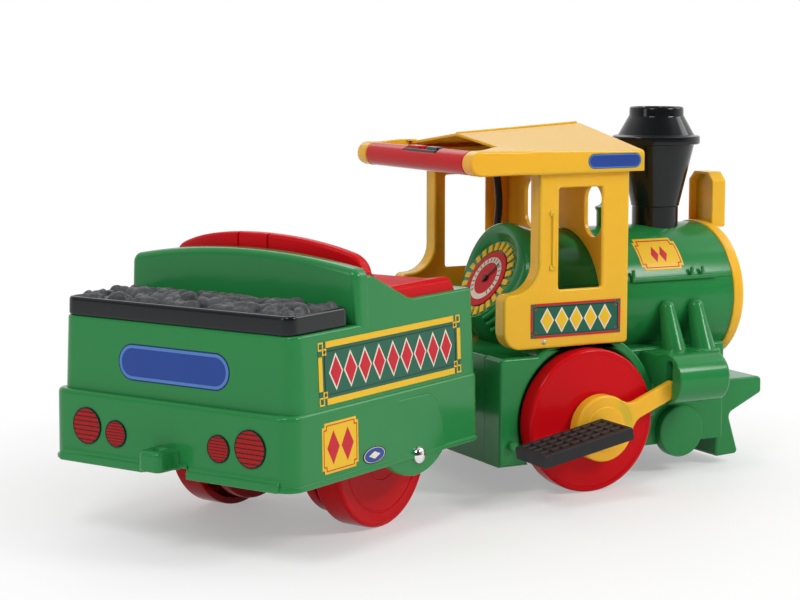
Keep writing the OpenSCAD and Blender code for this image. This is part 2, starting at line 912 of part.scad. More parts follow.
module steam_dome() color(green) in_loco() on_boiler(dome_x) {
    low = boiler_z + boiler_r * saddle_share;
    base = boiler_z + boiler_r;
    r = dome_d / 2;
    body_r = r * dome_body_share;
    rotate_extrude() polygon([[body_r - wall, low], [body_r, low],
        [body_r, base + dome_h * dome_neck_share],
        [r, base + dome_h * dome_brim_share - wall], [r, base + dome_h * dome_brim_share],
        [r * dome_tip_share, base + dome_h], [0, base + dome_h],
            [0, base + dome_h * dome_brim_share - wall],
        [body_r - wall, base + dome_h * dome_neck_share]]);
}

// Cab sides: hollow panels, open underneath
function cab_outline(inset, low) = rounded([
    [-cab_rear + inset, low, max(heel_r - inset, 0)],
    [cab_front_x - inset, low, 0],
    [cab_front_x - inset, cab_top - inset, 0],
    [-post_rear + inset, cab_top - inset, 0],
    [-post_rear + inset, plate_top - inset, scoop_r + inset],
    [-cab_rear + inset, plate_top - inset, max(corner_r - inset, 0)]]);

module window_slab(grow, y) {
    side_slab(rounded([
        [window_rear - grow, window_sill - grow, window_r],
        [window_rear + window_w + grow, window_sill - grow, window_r],
        [window_rear + window_w + grow, window_sill + window_h + grow, window_r],
        [window_rear - grow, window_sill + window_h + grow, window_r]], 3), y);
}

module cab_screw_hole() {
    rod_y(screw_d, [-cab_half_w - over, cab_t - cab_half_w + lug_t + over], -screw_back,
        cab_bottom + screw_up);
}

module cab_side(left) color(yellow) in_loco() on_side(left) {
    out = -cab_half_w;
    in = cab_t - cab_half_w;
    difference() {
        side_slab(cab_outline(0, cab_bottom), [out, in]);
        difference() {
            side_slab(cab_outline(cab_wall, cab_bottom - 2 * heel_r), [out + cab_wall, in - cab_wall]);
            window_slab(cab_wall, [out, in]);
            rod_y(screw_d + 2 * cab_wall, [out, in], -screw_back, cab_bottom + screw_up);
        }
        window_slab(0, [out - over, in + over]);
        cab_screw_hole();
    }
}

module cab_side_right() cab_side(false);
module cab_side_left() cab_side(true);

module cab_screws() color(steel) in_loco() both_sides() {
    x = -screw_back;
    z = cab_bottom + screw_up;
    rod_y(screw_head_d, [-cab_half_w - screw_head_t, -cab_half_w], x, z);
    rod_y(screw_d - 2 * run_gap, [-cab_half_w, cab_t - cab_half_w + part_gap + lug_t / 2], x, z);
}

// Front wall of the cab, cut round the boiler, with two tall windows
function ceiling(x, y) =
    let (ridge = ridge_rear + (ridge_front - ridge_rear) * (x + roof_rear) / (roof_front + roof_rear))
    ridge - roof_wall - (ridge - eave_top) * abs(y) / (roof_half_w - roof_wall);

module tall_window(y) {
    for (up = [-1, 1])
        rod_x(oval_w, [front_wall_x - over, front_wall_x + front_wall_t + over], y,
            oval_z + up * (oval_h - oval_w) / 2);
    box([front_wall_x - over, front_wall_x + front_wall_t + over], [y - oval_w / 2, y + oval_w / 2],
        [oval_z - (oval_h - oval_w) / 2, oval_z + (oval_h - oval_w) / 2]);
}

module cab_front() color(yellow) in_loco() difference() {
    half = cab_half_w - cab_t - part_gap;
    cross_slab([[-half, cab_bottom], [half, cab_bottom], [half, ceiling(front_wall_x, half) - part_gap],
        [0, ceiling(front_wall_x, 0) - part_gap], [-half, ceiling(front_wall_x, half) - part_gap]],
        [front_wall_x, front_wall_x + front_wall_t]);
    rod_x(boiler_d + 2 * part_gap, [0, boiler_front], 0, boiler_z);
    box([0, boiler_front], [-boiler_r, boiler_r], [0, boiler_z]);
    tall_window(oval_y);
    tall_window(-oval_y);
}

// Roof: a shallow gable with side bands, and two arms back to the grip
module gable(half, low, eave, rise_rear, rise_front, x) {
    ends = [for (e = [[x[0], rise_rear], [x[1], rise_front]])
        each [[e[0], -half, low], [e[0], -half, eave], [e[0], 0, e[1]], [e[0], half, eave],
            [e[0], half, low]]];
    polyhedron(ends, [[4, 3, 2, 1, 0], [5, 6, 7, 8, 9], [0, 1, 6, 5], [1, 2, 7], [1, 7, 6], [3, 8, 7],
        [2, 3, 7], [3, 4, 9, 8], [4, 0, 5, 9]]);
}

module roof_arm() {
    difference() {
        union() {
            box([-grip_back, wall - roof_rear], [-roof_half_w, arm_w - roof_half_w],
                [eave_low, eave_top]);
            rod_y(arm_end_d, [-roof_half_w, arm_w - roof_half_w], -grip_back, grip_z);
        }
        box([-grip_back - arm_end_d, -grip_back], [-roof_half_w - over, arm_w - roof_half_w + over],
            [grip_z + arm_end_d / 2, eave_top + arm_end_d]);
    }
    rod_y(grip_bore - 2 * part_gap, [arm_w - roof_half_w, arm_w - roof_half_w + peg_w], -grip_back,
        grip_z);
}

module cab_roof() color(yellow) in_loco() {
    difference() {
        gable(roof_half_w, eave_low, eave_top, ridge_rear, ridge_front, [-roof_rear, roof_front]);
        gable(roof_half_w - roof_wall, eave_low - over, eave_top - roof_wall, ridge_rear - roof_wall,
            ridge_front - roof_wall, [-roof_rear - over, roof_front + over]);
    }
    both_sides() roof_arm();
}

// Grip bar with a flat for the two push buttons
module grip_bar() color(red) in_loco() difference() {
    pocket_w = button_w + 2 * (flange_side + pocket_gap);
    pocket_l = button_l + 2 * (flange_end + pocket_gap);
    rod_y(grip_d, [-grip_half, grip_half], -grip_back, grip_z);
    rod_y(grip_bore, [-grip_half - over, grip_half + over], -grip_back, grip_z);
    box([-grip_back - grip_d, -grip_back + grip_d],
        [button_mid - switch_half - part_gap, button_mid + switch_half + part_gap],
        [plate_z, grip_z + grip_d]);
    for (y = button_y)
        box([-grip_back - pocket_w / 2, -grip_back + pocket_w / 2], [y - pocket_l / 2, y + pocket_l / 2],
            [grip_z, plate_z + over]);
}

module switch_plate() color(black) in_loco() difference() {
    box([-grip_back - switch_w / 2, -grip_back + switch_w / 2],
        [button_mid - switch_half, button_mid + switch_half],
        [plate_z, plate_z + switch_t]);
    for (y = button_y)
        box([-grip_back - button_w / 2 - part_gap, -grip_back + button_w / 2 + part_gap],
            [y - button_l / 2 - part_gap, y + button_l / 2 + part_gap],
                [plate_z - over, plate_z + switch_t + over]);
}

module push_button(y) {
    box([-grip_back - button_w / 2, -grip_back + button_w / 2], [y - button_l / 2, y + button_l / 2],
        [plate_z - part_gap, plate_z + switch_t + button_up]);
    box([-grip_back - button_w / 2 - flange_side, -grip_back + button_w / 2 + flange_side],
        [y - button_l / 2 - flange_end, y + button_l / 2 + flange_end],
            [plate_z - part_gap - flange_t, plate_z - part_gap]);
}

module sound_button() color(red) in_loco() push_button(button_y[0]);
module go_button() color(black) in_loco() push_button(button_y[1]);

module button_switches() color(black) in_loco() for (y = button_y)
    box([-grip_back - micro_w / 2, -grip_back + micro_w / 2], [y - micro_l / 2, y + micro_l / 2],
        [grip_z - sqrt(pow(grip_bore / 2, 2) - pow(micro_w / 2, 2)) + run_gap,
        plate_z - part_gap - flange_t - button_travel - part_gap]);

// Lead: a tube along a smooth curve through the route's points
function curve_point(a, b, c, d, t) =
    0.5 * (2 * b + (c - a) * t + (2 * a - 5 * b + 4 * c - d) * t * t + (3 * b - a - 3 * c + d) * t * t * t);
function smooth(route, steps) = [
    for (i = [0:len(route) - 2], k = [0:steps - 1])
        curve_point(route[max(i - 1, 0)], route[i], route[i + 1], route[min(i + 2, len(route) - 1)],
            k / steps),
    route[len(route) - 1]
];

module tube(path, d, sides) {
    n = len(path);
    rings = [for (i = [0:n - 1])
        let (
            along = unit(path[min(i + 1, n - 1)] - path[max(i - 1, 0)]),
            side = unit(cross(along, [0, 1, 0])),
            up = cross(along, side)
        )
        each [for (k = [0:sides - 1])
            path[i] + d / 2 * (cos(360 * k / sides) * side + sin(360 * k / sides) * up)]];
    skin = [for (i = [0:n - 2], k = [0:sides - 1])
        let (a = i * sides + k, b = i * sides + (k + 1) % sides)
        each [[a, b, a + sides], [b, b + sides, a + sides]]];
    start = [[for (k = [0:sides - 1]) sides - 1 - k]];
    end = [[for (k = [0:sides - 1]) (n - 1) * sides + k]];
    polyhedron(rings, concat(skin, start, end));
}

module handle_lead() color(black) in_loco() tube(smooth(lead_route, lead_steps), lead_d, lead_sides);

// Sound unit on the frame inside the boiler, and its speaker
module sound_module() color(black) in_loco() {
    low = boiler_z - sqrt(pow(boiler_r - wall, 2) - pow(sound_w / 2, 2)) + run_gap;
    box([sound_x, sound_x + sound_l], [-sound_w / 2, sound_w / 2], [low, low + sound_h]);
}

module speaker() color(black) in_loco() {
    low = boiler_z - sqrt(pow(boiler_r - wall, 2) - pow(speaker_d / 2, 2)) + run_gap;
    rod_z(speaker_d, [low, low + speaker_t], sound_x + sound_l + speaker_d, 0);
}

// Front wheelset
module wheel_form(y_in, y_out, wheel_side_wall) {
    hub_r = hub_d / 2;
    e = wheel_edge_r;
    rim = rounded([[0, -y_out, 0], [wheel_r, -y_out, e], [wheel_r, -y_in, e],
        [wheel_r - wheel_wall - e, -y_in, 0],
        [wheel_r - wheel_wall - e, -y_out + wheel_side_wall, 0], [hub_r, -y_out + wheel_side_wall, 0],
        [hub_r, -y_in, 0], [0, -y_in, 0]]);
    rotate([-90, 0, 0]) rotate_extrude() polygon([for (p = rim) [p[0], -p[1]]]);
    for (k = [0:rib_count - 1]) rotate([0, 360 * k / rib_count, 0])
        box([hub_r - join, wheel_r - wheel_wall - e + join],
            [y_in + wheel_wall, y_out - wheel_side_wall + join],
            [-rib_t / 2, rib_t / 2]);
}

module front_wheel(left) color(red) in_loco() on_side(!left) translate([0, 0, axle_z]) difference() {
    union() {
        wheel_form(front_half_track - front_wheel_w, front_half_track, front_face_t);
        rod_y(crank_d, [front_half_track, big_end_in + boss_l - boss_end_gap], crank_at(left)[0],
            crank_at(left)[1]);
    }
    rod_y(axle_d + 2 * run_gap, [front_half_track - front_wheel_w - over, front_half_track - wheel_wall],
        0, 0);
}

// The left crank stands opposite the right one
function crank_at(left) = left ? [-crank_x, -crank_z] : [crank_x, crank_z];

module front_wheel_right() front_wheel(false);
module front_wheel_left() front_wheel(true);

module front_axle() color(steel) in_loco()
    rod_y(axle_d, [part_gap + wheel_wall - front_half_track, front_half_track - wheel_wall - part_gap],
        0, axle_z);

module front_bushes() color(black) in_loco() both_sides() difference() {
    rod_y(bush_d - 2 * run_gap, [-well_in, -well_in + bush_l], 0, axle_z);
    rod_y(axle_d + 2 * run_gap, [-well_in - over, -well_in + bush_l + over], 0, axle_z);
}

// Side rods: both keep one slope, since each turns back on its crank as the wheel turns
module side_rod(left) color(yellow) in_loco() on_side(!left)
    translate([crank_at(left)[0], 0, axle_z + crank_at(left)[1]]) {
    end_x = rod_end_x - crank_x;
    end_z = rod_end_z - axle_z - crank_z;
    half = rod_w / 2 / cos(rod_slope());
    difference() {
        union() {
            rod_y(big_end_d, [big_end_in, big_end_out], 0, 0);
            rod_y(face_d, [big_end_out, big_end_out + face_t], 0, 0);
            side_slab([[0, -half], [end_x, end_z - half], [end_x, end_z + half], [0, half]],
                [rod_in, rod_in + rod_t]);
            box([end_x - tail_h, end_x + tail_l], [rod_in, rod_in + rod_t],
                [end_z - tail_h / 2, end_z + tail_h / 2]);
        }
        rod_y(crank_d + 2 * run_gap, [big_end_in - over, big_end_in + boss_l], 0, 0);
        pedal_pin_holes(pin_d);
    }
}

module side_rod_right() side_rod(false);
module side_rod_left() side_rod(true);

// Pins that carry a pedal, tilted with it about the big end's centre
module pedal_pin_holes(d) {
    rotate([0, -pedal_tilt, 0]) for (back = pin_at)
        rod_y(d, [pedal_in - pin_deep, pedal_in + pedal_w * pin_share], -back, pedal_t / 2);
}

module pedal(left) color(black) in_loco() on_side(!left)
    translate([crank_at(left)[0], 0, axle_z + crank_at(left)[1]])
    difference() {
        rotate([0, -pedal_tilt, 0]) difference() {
            plan_slab(plan_box([-pedal_front - pedal_l, -pedal_front], [pedal_in, pedal_in + pedal_w],
                tread_border, tread_border),
                [0, pedal_t]);
            tread_l = (pedal_l - tread_border) / tread_columns;
            tread_w = (pedal_w - tread_border) / tread_rows;
            for (i = [0:tread_columns - 1], j = [0:tread_rows - 1])
                translate([-pedal_front - pedal_l + tread_border + i * tread_l,
                    pedal_in + tread_border + j * tread_w, pedal_t - tread_depth])
                    cube([tread_l - tread_border, tread_w - tread_border, pedal_t]);
        }
        pedal_pin_holes(pin_d);
    }

module pedal_right() pedal(false);
module pedal_left() pedal(true);

module pedal_pins(left) color(steel) in_loco() on_side(!left)
    translate([crank_at(left)[0], 0, axle_z + crank_at(left)[1]])
    pedal_pin_holes(pin_d - 2 * run_gap);

module pedal_pins_right() pedal_pins(false);
module pedal_pins_left() pedal_pins(true);

// Tender shell
function upper_profile() =
    let (
        back = -arch_back,
        front = -tender_front,
        span = arch_back - tender_front
    )
    rounded([[back, ledge_z, 0], [back, arch_side_top, 0],
        [back + span * slope_shares[0], arch_side_top, slope_r[0]],
        [back + span * slope_shares[1], side_top, slope_r[1]], [front, side_top, 0],
            [front, ledge_z, 0]]);

// One arc through a crown and its two ends
function crown_arc(half, side, top) =
    let (
        rise = top - side,
        r = (half * half + rise * rise) / (2 * rise),
        reach = asin(half / r)
    )
    [for (i = [0:16]) let (a = reach * (i / 8 - 1)) [r * sin(a), top - r + r * cos(a)]];
function arch_outline() =
    concat([[-upper_half_w, ledge_z], [-upper_half_w, arch_side_top]],
        crown_arc(upper_half_w * arch_curve_share, arch_side_top, arch_top),
        [[upper_half_w, arch_side_top], [upper_half_w, ledge_z]]);

module tender_outer() {
    plan_slab(plan_box([-tender_rear, -tender_front], [-tender_half_w, tender_half_w], tender_rear_r,
        tender_front_r),
        [tender_bottom, ledge_z]);
    plan_slab(plan_box([-tender_rear - lip_out, -tender_front],
        [-tender_half_w - lip_out, tender_half_w + lip_out],
        tender_rear_r, tender_front_r), [tender_bottom, tender_bottom + lip_t]);
    plan_slab(plan_box([-upper_rear, -tender_front], [-upper_half_w, upper_half_w], tender_rear_r,
        tender_front_r),
        [ledge_z, deck_z]);
    intersection() {
        side_slab(upper_profile(), [-upper_half_w, upper_half_w]);
        plan_slab(plan_box([-upper_rear, -tender_front], [-upper_half_w, upper_half_w], tender_rear_r,
            tender_front_r),
            [ledge_z, arch_top]);
    }
    cross_slab(arch_outline(), [-arch_back, arch_wall_t - arch_back]);
    box([-tender_rear - bumper_out, wall - tender_rear],
        [tender_rear_r - tender_half_w, tender_half_w - tender_rear_r],
        [tender_bottom, tender_bottom + bumper_t]);
    both_sides() rod_y(lobe_d, [-tender_half_w - lip_out, wall - tender_half_w], -rear_axle_back,
        axle_z + lobe_up);
    for (z = [fork_low_z, fork_up_z]) {
        rod_z(fork_w, [z, z + fork_t], 0, 0);
        box([-tender_front - wall, 0], [-fork_w / 2, fork_w / 2], [z, z + fork_t]);
    }
    plan_slab(plan_box([-tender_rear - tow_l, wall - tender_rear], [-tow_w / 2, tow_w / 2], tow_r, 0),
        [tow_z, tow_z + tow_t]);
}

module tender_hollows() {
    rear_r = tender_rear_r - wall;
    front_r = tender_front_r - wall;
    plan_slab(plan_box([wall - tender_rear, -tender_front - wall],
        [wall - tender_half_w, tender_half_w - wall], rear_r, front_r),
        [0, ledge_z - wall]);
    plan_slab(plan_box([wall - upper_rear, -tender_front - wall],
        [wall - upper_half_w, upper_half_w - wall], rear_r, front_r),
        [ledge_z - wall - over, platform_z]);
    plan_slab(plan_box([wall - upper_rear, -arch_back - wall],
        [wall - upper_half_w, upper_half_w - wall], rear_r, 0),
        [platform_z - over, deck_z - wall]);
    box([wall - arch_back, arch_wall_t - wall - arch_back],
        [2 * wall - upper_half_w, upper_half_w - 2 * wall],
        [platform_z - over, arch_side_top - 2 * wall]);
    box([arch_wall_t - arch_back, -tender_front - 2 * wall],
        [side_t - upper_half_w, upper_half_w - side_t],
        [platform_z + wall, side_top - wall]);
    box([arch_wall_t - arch_back, -tender_front - front_deck],
        [side_t - upper_half_w, upper_half_w - side_t],
        [platform_z + wall, arch_top]);
    box([-bin_x()[1] - part_gap, -bin_x()[0] + part_gap], [-bin_half() - part_gap, bin_half() + part_gap],
        [deck_z - 2 * wall, deck_z + over]);
}

module tender_body() color(green) in_tender() difference() {
    union() {
        difference() {
            tender_outer();
            tender_hollows();
        }
        both_sides() {
            rod_y(axle_boss_d, [-tender_half_w, -axle_boss_in], -rear_axle_back, axle_z);
            box([arch_wall_t - arch_back, -tender_front - 2 * wall],
                [side_t - upper_half_w - join, side_t - upper_half_w + seat_ledge_w],
                    [seat_ledge_z - seat_ledge_t, seat_ledge_z]);
        }
    }
    rod_y(axle_d + 2 * run_gap, [-tender_half_w - lip_out - over, tender_half_w + lip_out + over],
        -rear_axle_back, axle_z);
    rod_z(pivot_d + 2 * run_gap, [fork_low_z - over, fork_up_z + fork_t + over], 0, 0);
    rod_z(tow_d, [tow_z - over, tow_z + tow_t + over], -tender_rear - tow_l / 2, 0);
    seat_screw_places() cylinder(d = screw_d, h = 4 * seat_ledge_t, center = true);
}

// Pivot bolt, nut and washers
module pivot_bolt() color(steel) in_tender() {
    rod_z(pivot_d, [fork_low_z - nut_t, fork_up_z + fork_t], 0, 0);
    rod_z(bolt_head_d, [fork_up_z + fork_t, fork_up_z + fork_t + bolt_head_t], 0, 0);
}

module pivot_nut() color(steel) in_tender() difference() {
    translate([0, 0, fork_low_z - nut_t]) cylinder(d = bolt_head_d, h = nut_t, $fn = 6);
    rod_z(pivot_d + 2 * run_gap, [fork_low_z - nut_t - over, fork_low_z + over], 0, 0);
}

module pivot_washers() color(steel) in_tender()
    for (z = [tongue_z - part_gap - washer_t, tongue_top + part_gap])
    difference() {
        rod_z(washer_d, [z, z + washer_t], 0, 0);
        rod_z(pivot_d + 2 * run_gap, [z - over, z + washer_t + over], 0, 0);
    }

// Seat: pan, raised sides and backrest, hollow underneath
module seat_screw_places() {
    for (x = [-arch_back + arch_wall_t + bolster_w, -tender_front - front_deck - bolster_w], y = [-1, 1])
        translate([x, y * (upper_half_w - side_t - seat_ledge_w / 2), seat_ledge_z]) children();
}

function seat_profile(up) =
    let (
        rear = -arch_back + arch_wall_t + part_gap,
        front = -tender_front - front_deck - part_gap,
        pan = side_top + up
    )
    rounded([[rear, seat_ledge_z, 0], [front, seat_ledge_z, 0], [front, side_top + part_gap, 0],
        [-seat_front, side_top + part_gap, 0], [-seat_front, side_top + seat_lip, seat_round],
        [front - bolster_w, pan + seat_dip, 0], [(rear + front) / 2, pan, 0],
        [rear + back_t + seat_knee_r, pan, 0], [rear + back_t, pan + seat_knee_r, 0],
            [rear, pan + seat_knee_r, 0]], 4);

module backrest() {
    rear = -arch_back + arch_wall_t + part_gap;
    intersection() {
        side_slab([[rear, side_top], [rear + back_t + back_lean, side_top], [rear + back_t, back_top],
            [rear, back_top]],
            [-back_half_w, back_half_w]);
        cross_slab(concat([[-back_half_w, side_top]], crown_arc(back_half_w, back_side_top, back_top),
            [[back_half_w, side_top]]), [rear - over, rear + 2 * back_t]);
    }
}

module seat() color(red) in_tender() difference() {
    rear = -arch_back + arch_wall_t + part_gap;
    union() {
        side_slab(seat_profile(0), [-seat_half_w, seat_half_w]);
        both_sides() side_slab(seat_profile(bolster_up), [-seat_half_w, bolster_w - seat_half_w]);
        backrest();
    }
    box([rear + seat_skin, -tender_front - front_deck - part_gap - seat_skin],
        [seat_ledge_w + part_gap - seat_half_w, seat_half_w - seat_ledge_w - part_gap],
        [seat_ledge_z - over, side_top - seat_skin]);
    for (y = [-groove_y, groove_y])
        translate([rear + back_t + back_lean, y - groove_w / 2, side_top + seat_knee_r])
            rotate([0, -atan2(back_lean, back_top - side_top), 0]) translate([-groove_d, 0, 0])
                cube([back_t, groove_w, back_top]);
    seat_screw_places() cylinder(d = screw_d, h = 4 * seat_ledge_t, center = true);
}

module seat_screws() color(steel) in_tender() seat_screw_places() {
    translate([0, 0, -seat_ledge_t - screw_head_t]) cylinder(d = seat_screw_head_d, h = screw_head_t);
    translate([0, 0, -seat_ledge_t]) cylinder(d = screw_d - 2 * run_gap, h = 2 * seat_ledge_t);
}

// Storage tub hung in the rear deck, and the lid with its heap of coal
function bin_x() = [lid_front + bin_side, lid_rear - bin_side];
function bin_half() = lid_half_w - bin_side;

module coal_bin() color(black) in_tender() {
    x = [-bin_x()[1], -bin_x()[0]];
    y = [-bin_half(), bin_half()];
    difference() {
        union() {
            box(x, y, [deck_z - bin_depth, deck_z]);
            box([x[0] - bin_flange, x[1] + bin_flange], [y[0] - bin_flange, y[1] + bin_flange],
                [deck_z, deck_z + bin_flange_t]);
        }
        box([x[0] + bin_wall, x[1] - bin_wall], [y[0] + bin_wall, y[1] - bin_wall],
            [deck_z - bin_depth + bin_wall, deck_z + over + bin_flange_t]);
    }
}

// A heap of lumps as a closed field of heights over the lid's plate
module coal_heap(x, y, low, high) {
    n = coal_columns;
    m = coal_rows;
    lift = rands(coal_low_share, 1, (n + 1) * (m + 1), coal_seed);
    function edge(i, j) = i == 0 || j == 0 || i == m || j == n;
    function spot(i, j) = i * (n + 1) + j;
    count = (n + 1) * (m + 1);
    grid = [for (i = [0:m], j = [0:n]) [x[0] + (x[1] - x[0]) * i / m, y[0] + (y[1] - y[0]) * j / n, low]];
    top = [for (i = [0:m], j = [0:n])
        grid[spot(i, j)] + [0, 0, (high - low) * (edge(i, j) ? coal_edge_share : lift[spot(i, j)])]];
    quads = [for (i = [0:m - 1], j = [0:n - 1])
        [spot(i, j), spot(i + 1, j), spot(i + 1, j + 1), spot(i, j + 1)]];
    faces_top = [for (q = quads) each [[count + q[0], count + q[2], count + q[1]],
        [count + q[0], count + q[3], count + q[2]]]];
    faces_low = [for (q = quads) each [[q[0], q[1], q[2]], [q[0], q[2], q[3]]]];
    loop = concat([for (j = [0:n - 1]) spot(0, j)], [for (i = [0:m - 1]) spot(i, n)],
        [for (j = [0:n - 1]) spot(m, n - j)], [for (i = [0:m - 1]) spot(m - i, 0)]);
    sides = [for (k = [0:len(loop) - 1])
        let (a = loop[k], b = loop[(k + 1) % len(loop)])
        each [[a, b, count + a], [b, count + b, count + a]]];
    polyhedron(concat(grid, top), concat(faces_top, faces_low, sides));
}

module coal_lid() color(black) in_tender() {
    low = deck_z + part_gap;
    top = low + lid_h;
    x = [-lid_rear, -lid_front];
    y = [-lid_half_w, lid_half_w];
    difference() {
        plan_slab(plan_box(x, y, lid_r, lid_r), [low, top]);
        box([x[0] + lid_wall, x[1] - lid_wall], [y[0] + lid_wall, y[1] - lid_wall],
            [low - over, top - lid_plate_drop - lid_plate_t]);
        box([x[0] + lid_wall, x[1] - lid_wall], [y[0] + lid_wall, y[1] - lid_wall],
            [top - lid_plate_drop, top + over]);
    }
    coal_heap([x[0] + lid_wall, x[1] - lid_wall], [y[0] + lid_wall, y[1] - lid_wall],
        top - lid_plate_drop - lid_plate_t / 2, top + coal_h);
}

module tail_lights() color(red) in_tender() both_sides() for (k = [0, 1])
    rod_x(light_d[k], [-tender_rear - light_t, -tender_rear], -light_y[k], light_z[k]);

// Rear axle, its caps, and the wheels that turn on it
module rear_axle() color(steel) in_tender()
    rod_y(axle_d, [-tender_half_w - lip_out, tender_half_w + lip_out], -rear_axle_back, axle_z);

module axle_caps() color(steel) in_tender() both_sides()
    translate([-rear_axle_back, -tender_half_w - lip_out, axle_z])
    rotate([90, 0, 0]) {
        cylinder(d = cap_d, h = cap_t);
        translate([0, 0, cap_t]) cylinder(d1 = cap_d, d2 = cap_d / 2, h = cap_dome);
    }

module rear_wheel(left) color(red) in_tender() on_side(!left) translate([-rear_axle_back, 0, axle_z])
    difference() {
    union() {
        wheel_form(rear_half_track - rear_wheel_w, rear_half_track, wheel_wall);
        rod_y(hub_d, [left ? disc_in : sleeve_in, rear_half_track - wheel_wall], 0, 0);
    }
    rod_y(axle_d + 2 * run_gap, [0, rear_half_track + over], 0, 0);
}

module rear_wheel_right() rear_wheel(false);
module rear_wheel_left() rear_wheel(true);

module wheel_disc(left) color(red) in_tender() on_side(!left) translate([-rear_axle_back, 0, axle_z])
    difference() {
    rod_y(disc_d, [disc_in, disc_in + disc_w], 0, 0);
    rod_y(hub_d + 2 * run_gap, [disc_in - over, disc_in + disc_w + over], 0, 0);
    difference() {
        rod_y(disc_d - 2 * wheel_wall, [disc_in + wheel_wall, disc_in + disc_w + over], 0, 0);
        rod_y(hub_d + 2 * wheel_wall, [disc_in, disc_in + disc_w], 0, 0);
    }
}

module wheel_disc_right() wheel_disc(false);
module wheel_disc_left() wheel_disc(true);

module axle_spacers() color(steel) in_tender()
    for (y = [[-axle_boss_in + part_gap, -rear_half_track - part_gap],
    [part_gap - case_in, disc_in - part_gap], [rear_half_track + part_gap, axle_boss_in - part_gap]])
    difference() {
        rod_y(spacer_d, y, -rear_axle_back, axle_z);
        rod_y(axle_d + 2 * run_gap, [y[0] - over, y[1] + over], -rear_axle_back, axle_z);
    }

// Spur gears: involute flanks between root and tip, a little thin for play
function roll(r, base) = base >= r ? 0 : tan(acos(base / r)) * 180 / PI - acos(base / r);
function tooth_half(r, teeth, size) =
    let (
        pitch = size * teeth / 2,
        base = pitch * cos(pressure_angle)
    )
    90 / teeth + roll(pitch, base) - roll(max(r, base), base) - tooth_play / pitch * 90 / PI;
function gear_points(teeth, size, phase) =
    let (
        pitch = size * teeth / 2,
        radii = [for (share = tooth_shares) pitch + share * size]
    )
    [for (k = [0:teeth - 1]) each concat(
        [for (r = radii) let (a = phase + 360 * k / teeth - tooth_half(r, teeth, size)) r * [cos(a),
            sin(a)]],
        [for (i = [len(radii) - 1:-1:0])
            let (r = radii[i], a = phase + 360 * k / teeth + tooth_half(r, teeth, size))
                r * [cos(a), sin(a)]])];

module gear(teeth, size, phase, x, z, y) {
    translate([x, 0, z]) side_slab(gear_points(teeth, size, phase), y);
}

module drive_gear() color("white") in_tender() difference() {
    gear(wheel_teeth, module_low, lay_angle + 180 / wheel_teeth, -rear_axle_back, axle_z,
        [drive_y, drive_y + gear_w]);
    rod_y(hub_d + 2 * run_gap, [drive_y - over, drive_y + gear_w + over], -rear_axle_back, axle_z);
}

module lay_gear() color("white") in_tender() difference() {
    union() {
        gear(pinion_teeth, module_low, lay_angle + 180, lay_x, lay_z, [drive_y, drive_y + gear_w]);
        gear(wheel_teeth, module_high, motor_angle, lay_x, lay_z, [fast_y, fast_y + fast_w]);
        rod_y(layshaft_d + 2 * gear_hub, [drive_y + gear_w, fast_y], lay_x, lay_z);
    }
    rod_y(layshaft_d + 2 * run_gap, [drive_y - over, fast_y + fast_w + over], lay_x, lay_z);
}

module layshaft() color(steel) in_tender()
    rod_y(layshaft_d, [-case_out + part_gap, -case_in - part_gap], lay_x, lay_z);

module motor_pinion() color(steel) in_tender() {
    gear(pinion_teeth, module_high, motor_angle + 180 + 180 / pinion_teeth, motor_x, motor_z,
        [fast_y, fast_y + fast_w]);
    rod_y(shaft_d, [fast_y + fast_w, motor_l / 2 - case_in], motor_x, motor_z);
}

// Gearbox in two halves, hung from the tender by a pillar
module gearbox_half(y, shut) {
    difference() {
        box([case_back, case_front], y, [case_low, case_high]);
        box([case_back + case_wall, case_front - case_wall],
            shut == 0 ? [y[0] + case_wall, y[1] + over] : [y[0] - over, y[1] - case_wall],
            [case_low + case_wall, case_high - case_wall]);
        rod_y(layshaft_d + 2 * run_gap, [y[0] - over, y[1] + over], lay_x, lay_z);
        children();
    }
}

module gearbox_right() color(black) in_tender() {
    y = [-case_out, -case_split];
    gearbox_half(y, 0) rod_y(hub_d + 2 * part_gap, [y[0] - over, y[1]], -rear_axle_back, axle_z);
    box([lay_x - pillar_l / 2, lay_x + pillar_l / 2], y, [case_high, platform_z]);
}

module gearbox_left() color(black) in_tender() {
    y = [-case_split, -case_in];
    gearbox_half(y, 1) {
        rod_y(axle_d + 2 * run_gap, [y[0] - over, y[1] + over], -rear_axle_back, axle_z);
        rod_y(shaft_d * 2, [y[0], y[1] + over], motor_x, motor_z);
    }
}

module motor() color(steel) in_tender() difference() {
    rod_y(motor_d, [-case_in, motor_l - case_in], motor_x, motor_z);
    rod_y(shaft_d + 2 * run_gap, [-case_in - over, motor_l / 2 + shaft_end_gap - case_in], motor_x,
        motor_z);
}

// Battery under the seat, with its strap
module battery() color(black) in_tender() {
    low = platform_z + wall;
    box([battery_x, battery_x + battery_w], [-battery_l / 2, battery_l / 2], [low, low + battery_h]);
    for (y = [-1, 1])
        rod_z(terminal_d, [low + battery_h, low + battery_h + terminal_h], battery_x + terminal_d,
            y * battery_l / 4);
}

module battery_strap() color(black) in_tender() {
    low = platform_z + wall;
    x = [battery_x + battery_w / 2 - strap_w / 2, battery_x + battery_w / 2 + strap_w / 2];
    half = battery_l / 2 + part_gap;
    difference() {
        box(x, [-half - strap_t, half + strap_t], [low, low + battery_h + part_gap + strap_t]);
        box([x[0] - over, x[1] + over], [-half, half], [low - over, low + battery_h + part_gap]);
    }
}

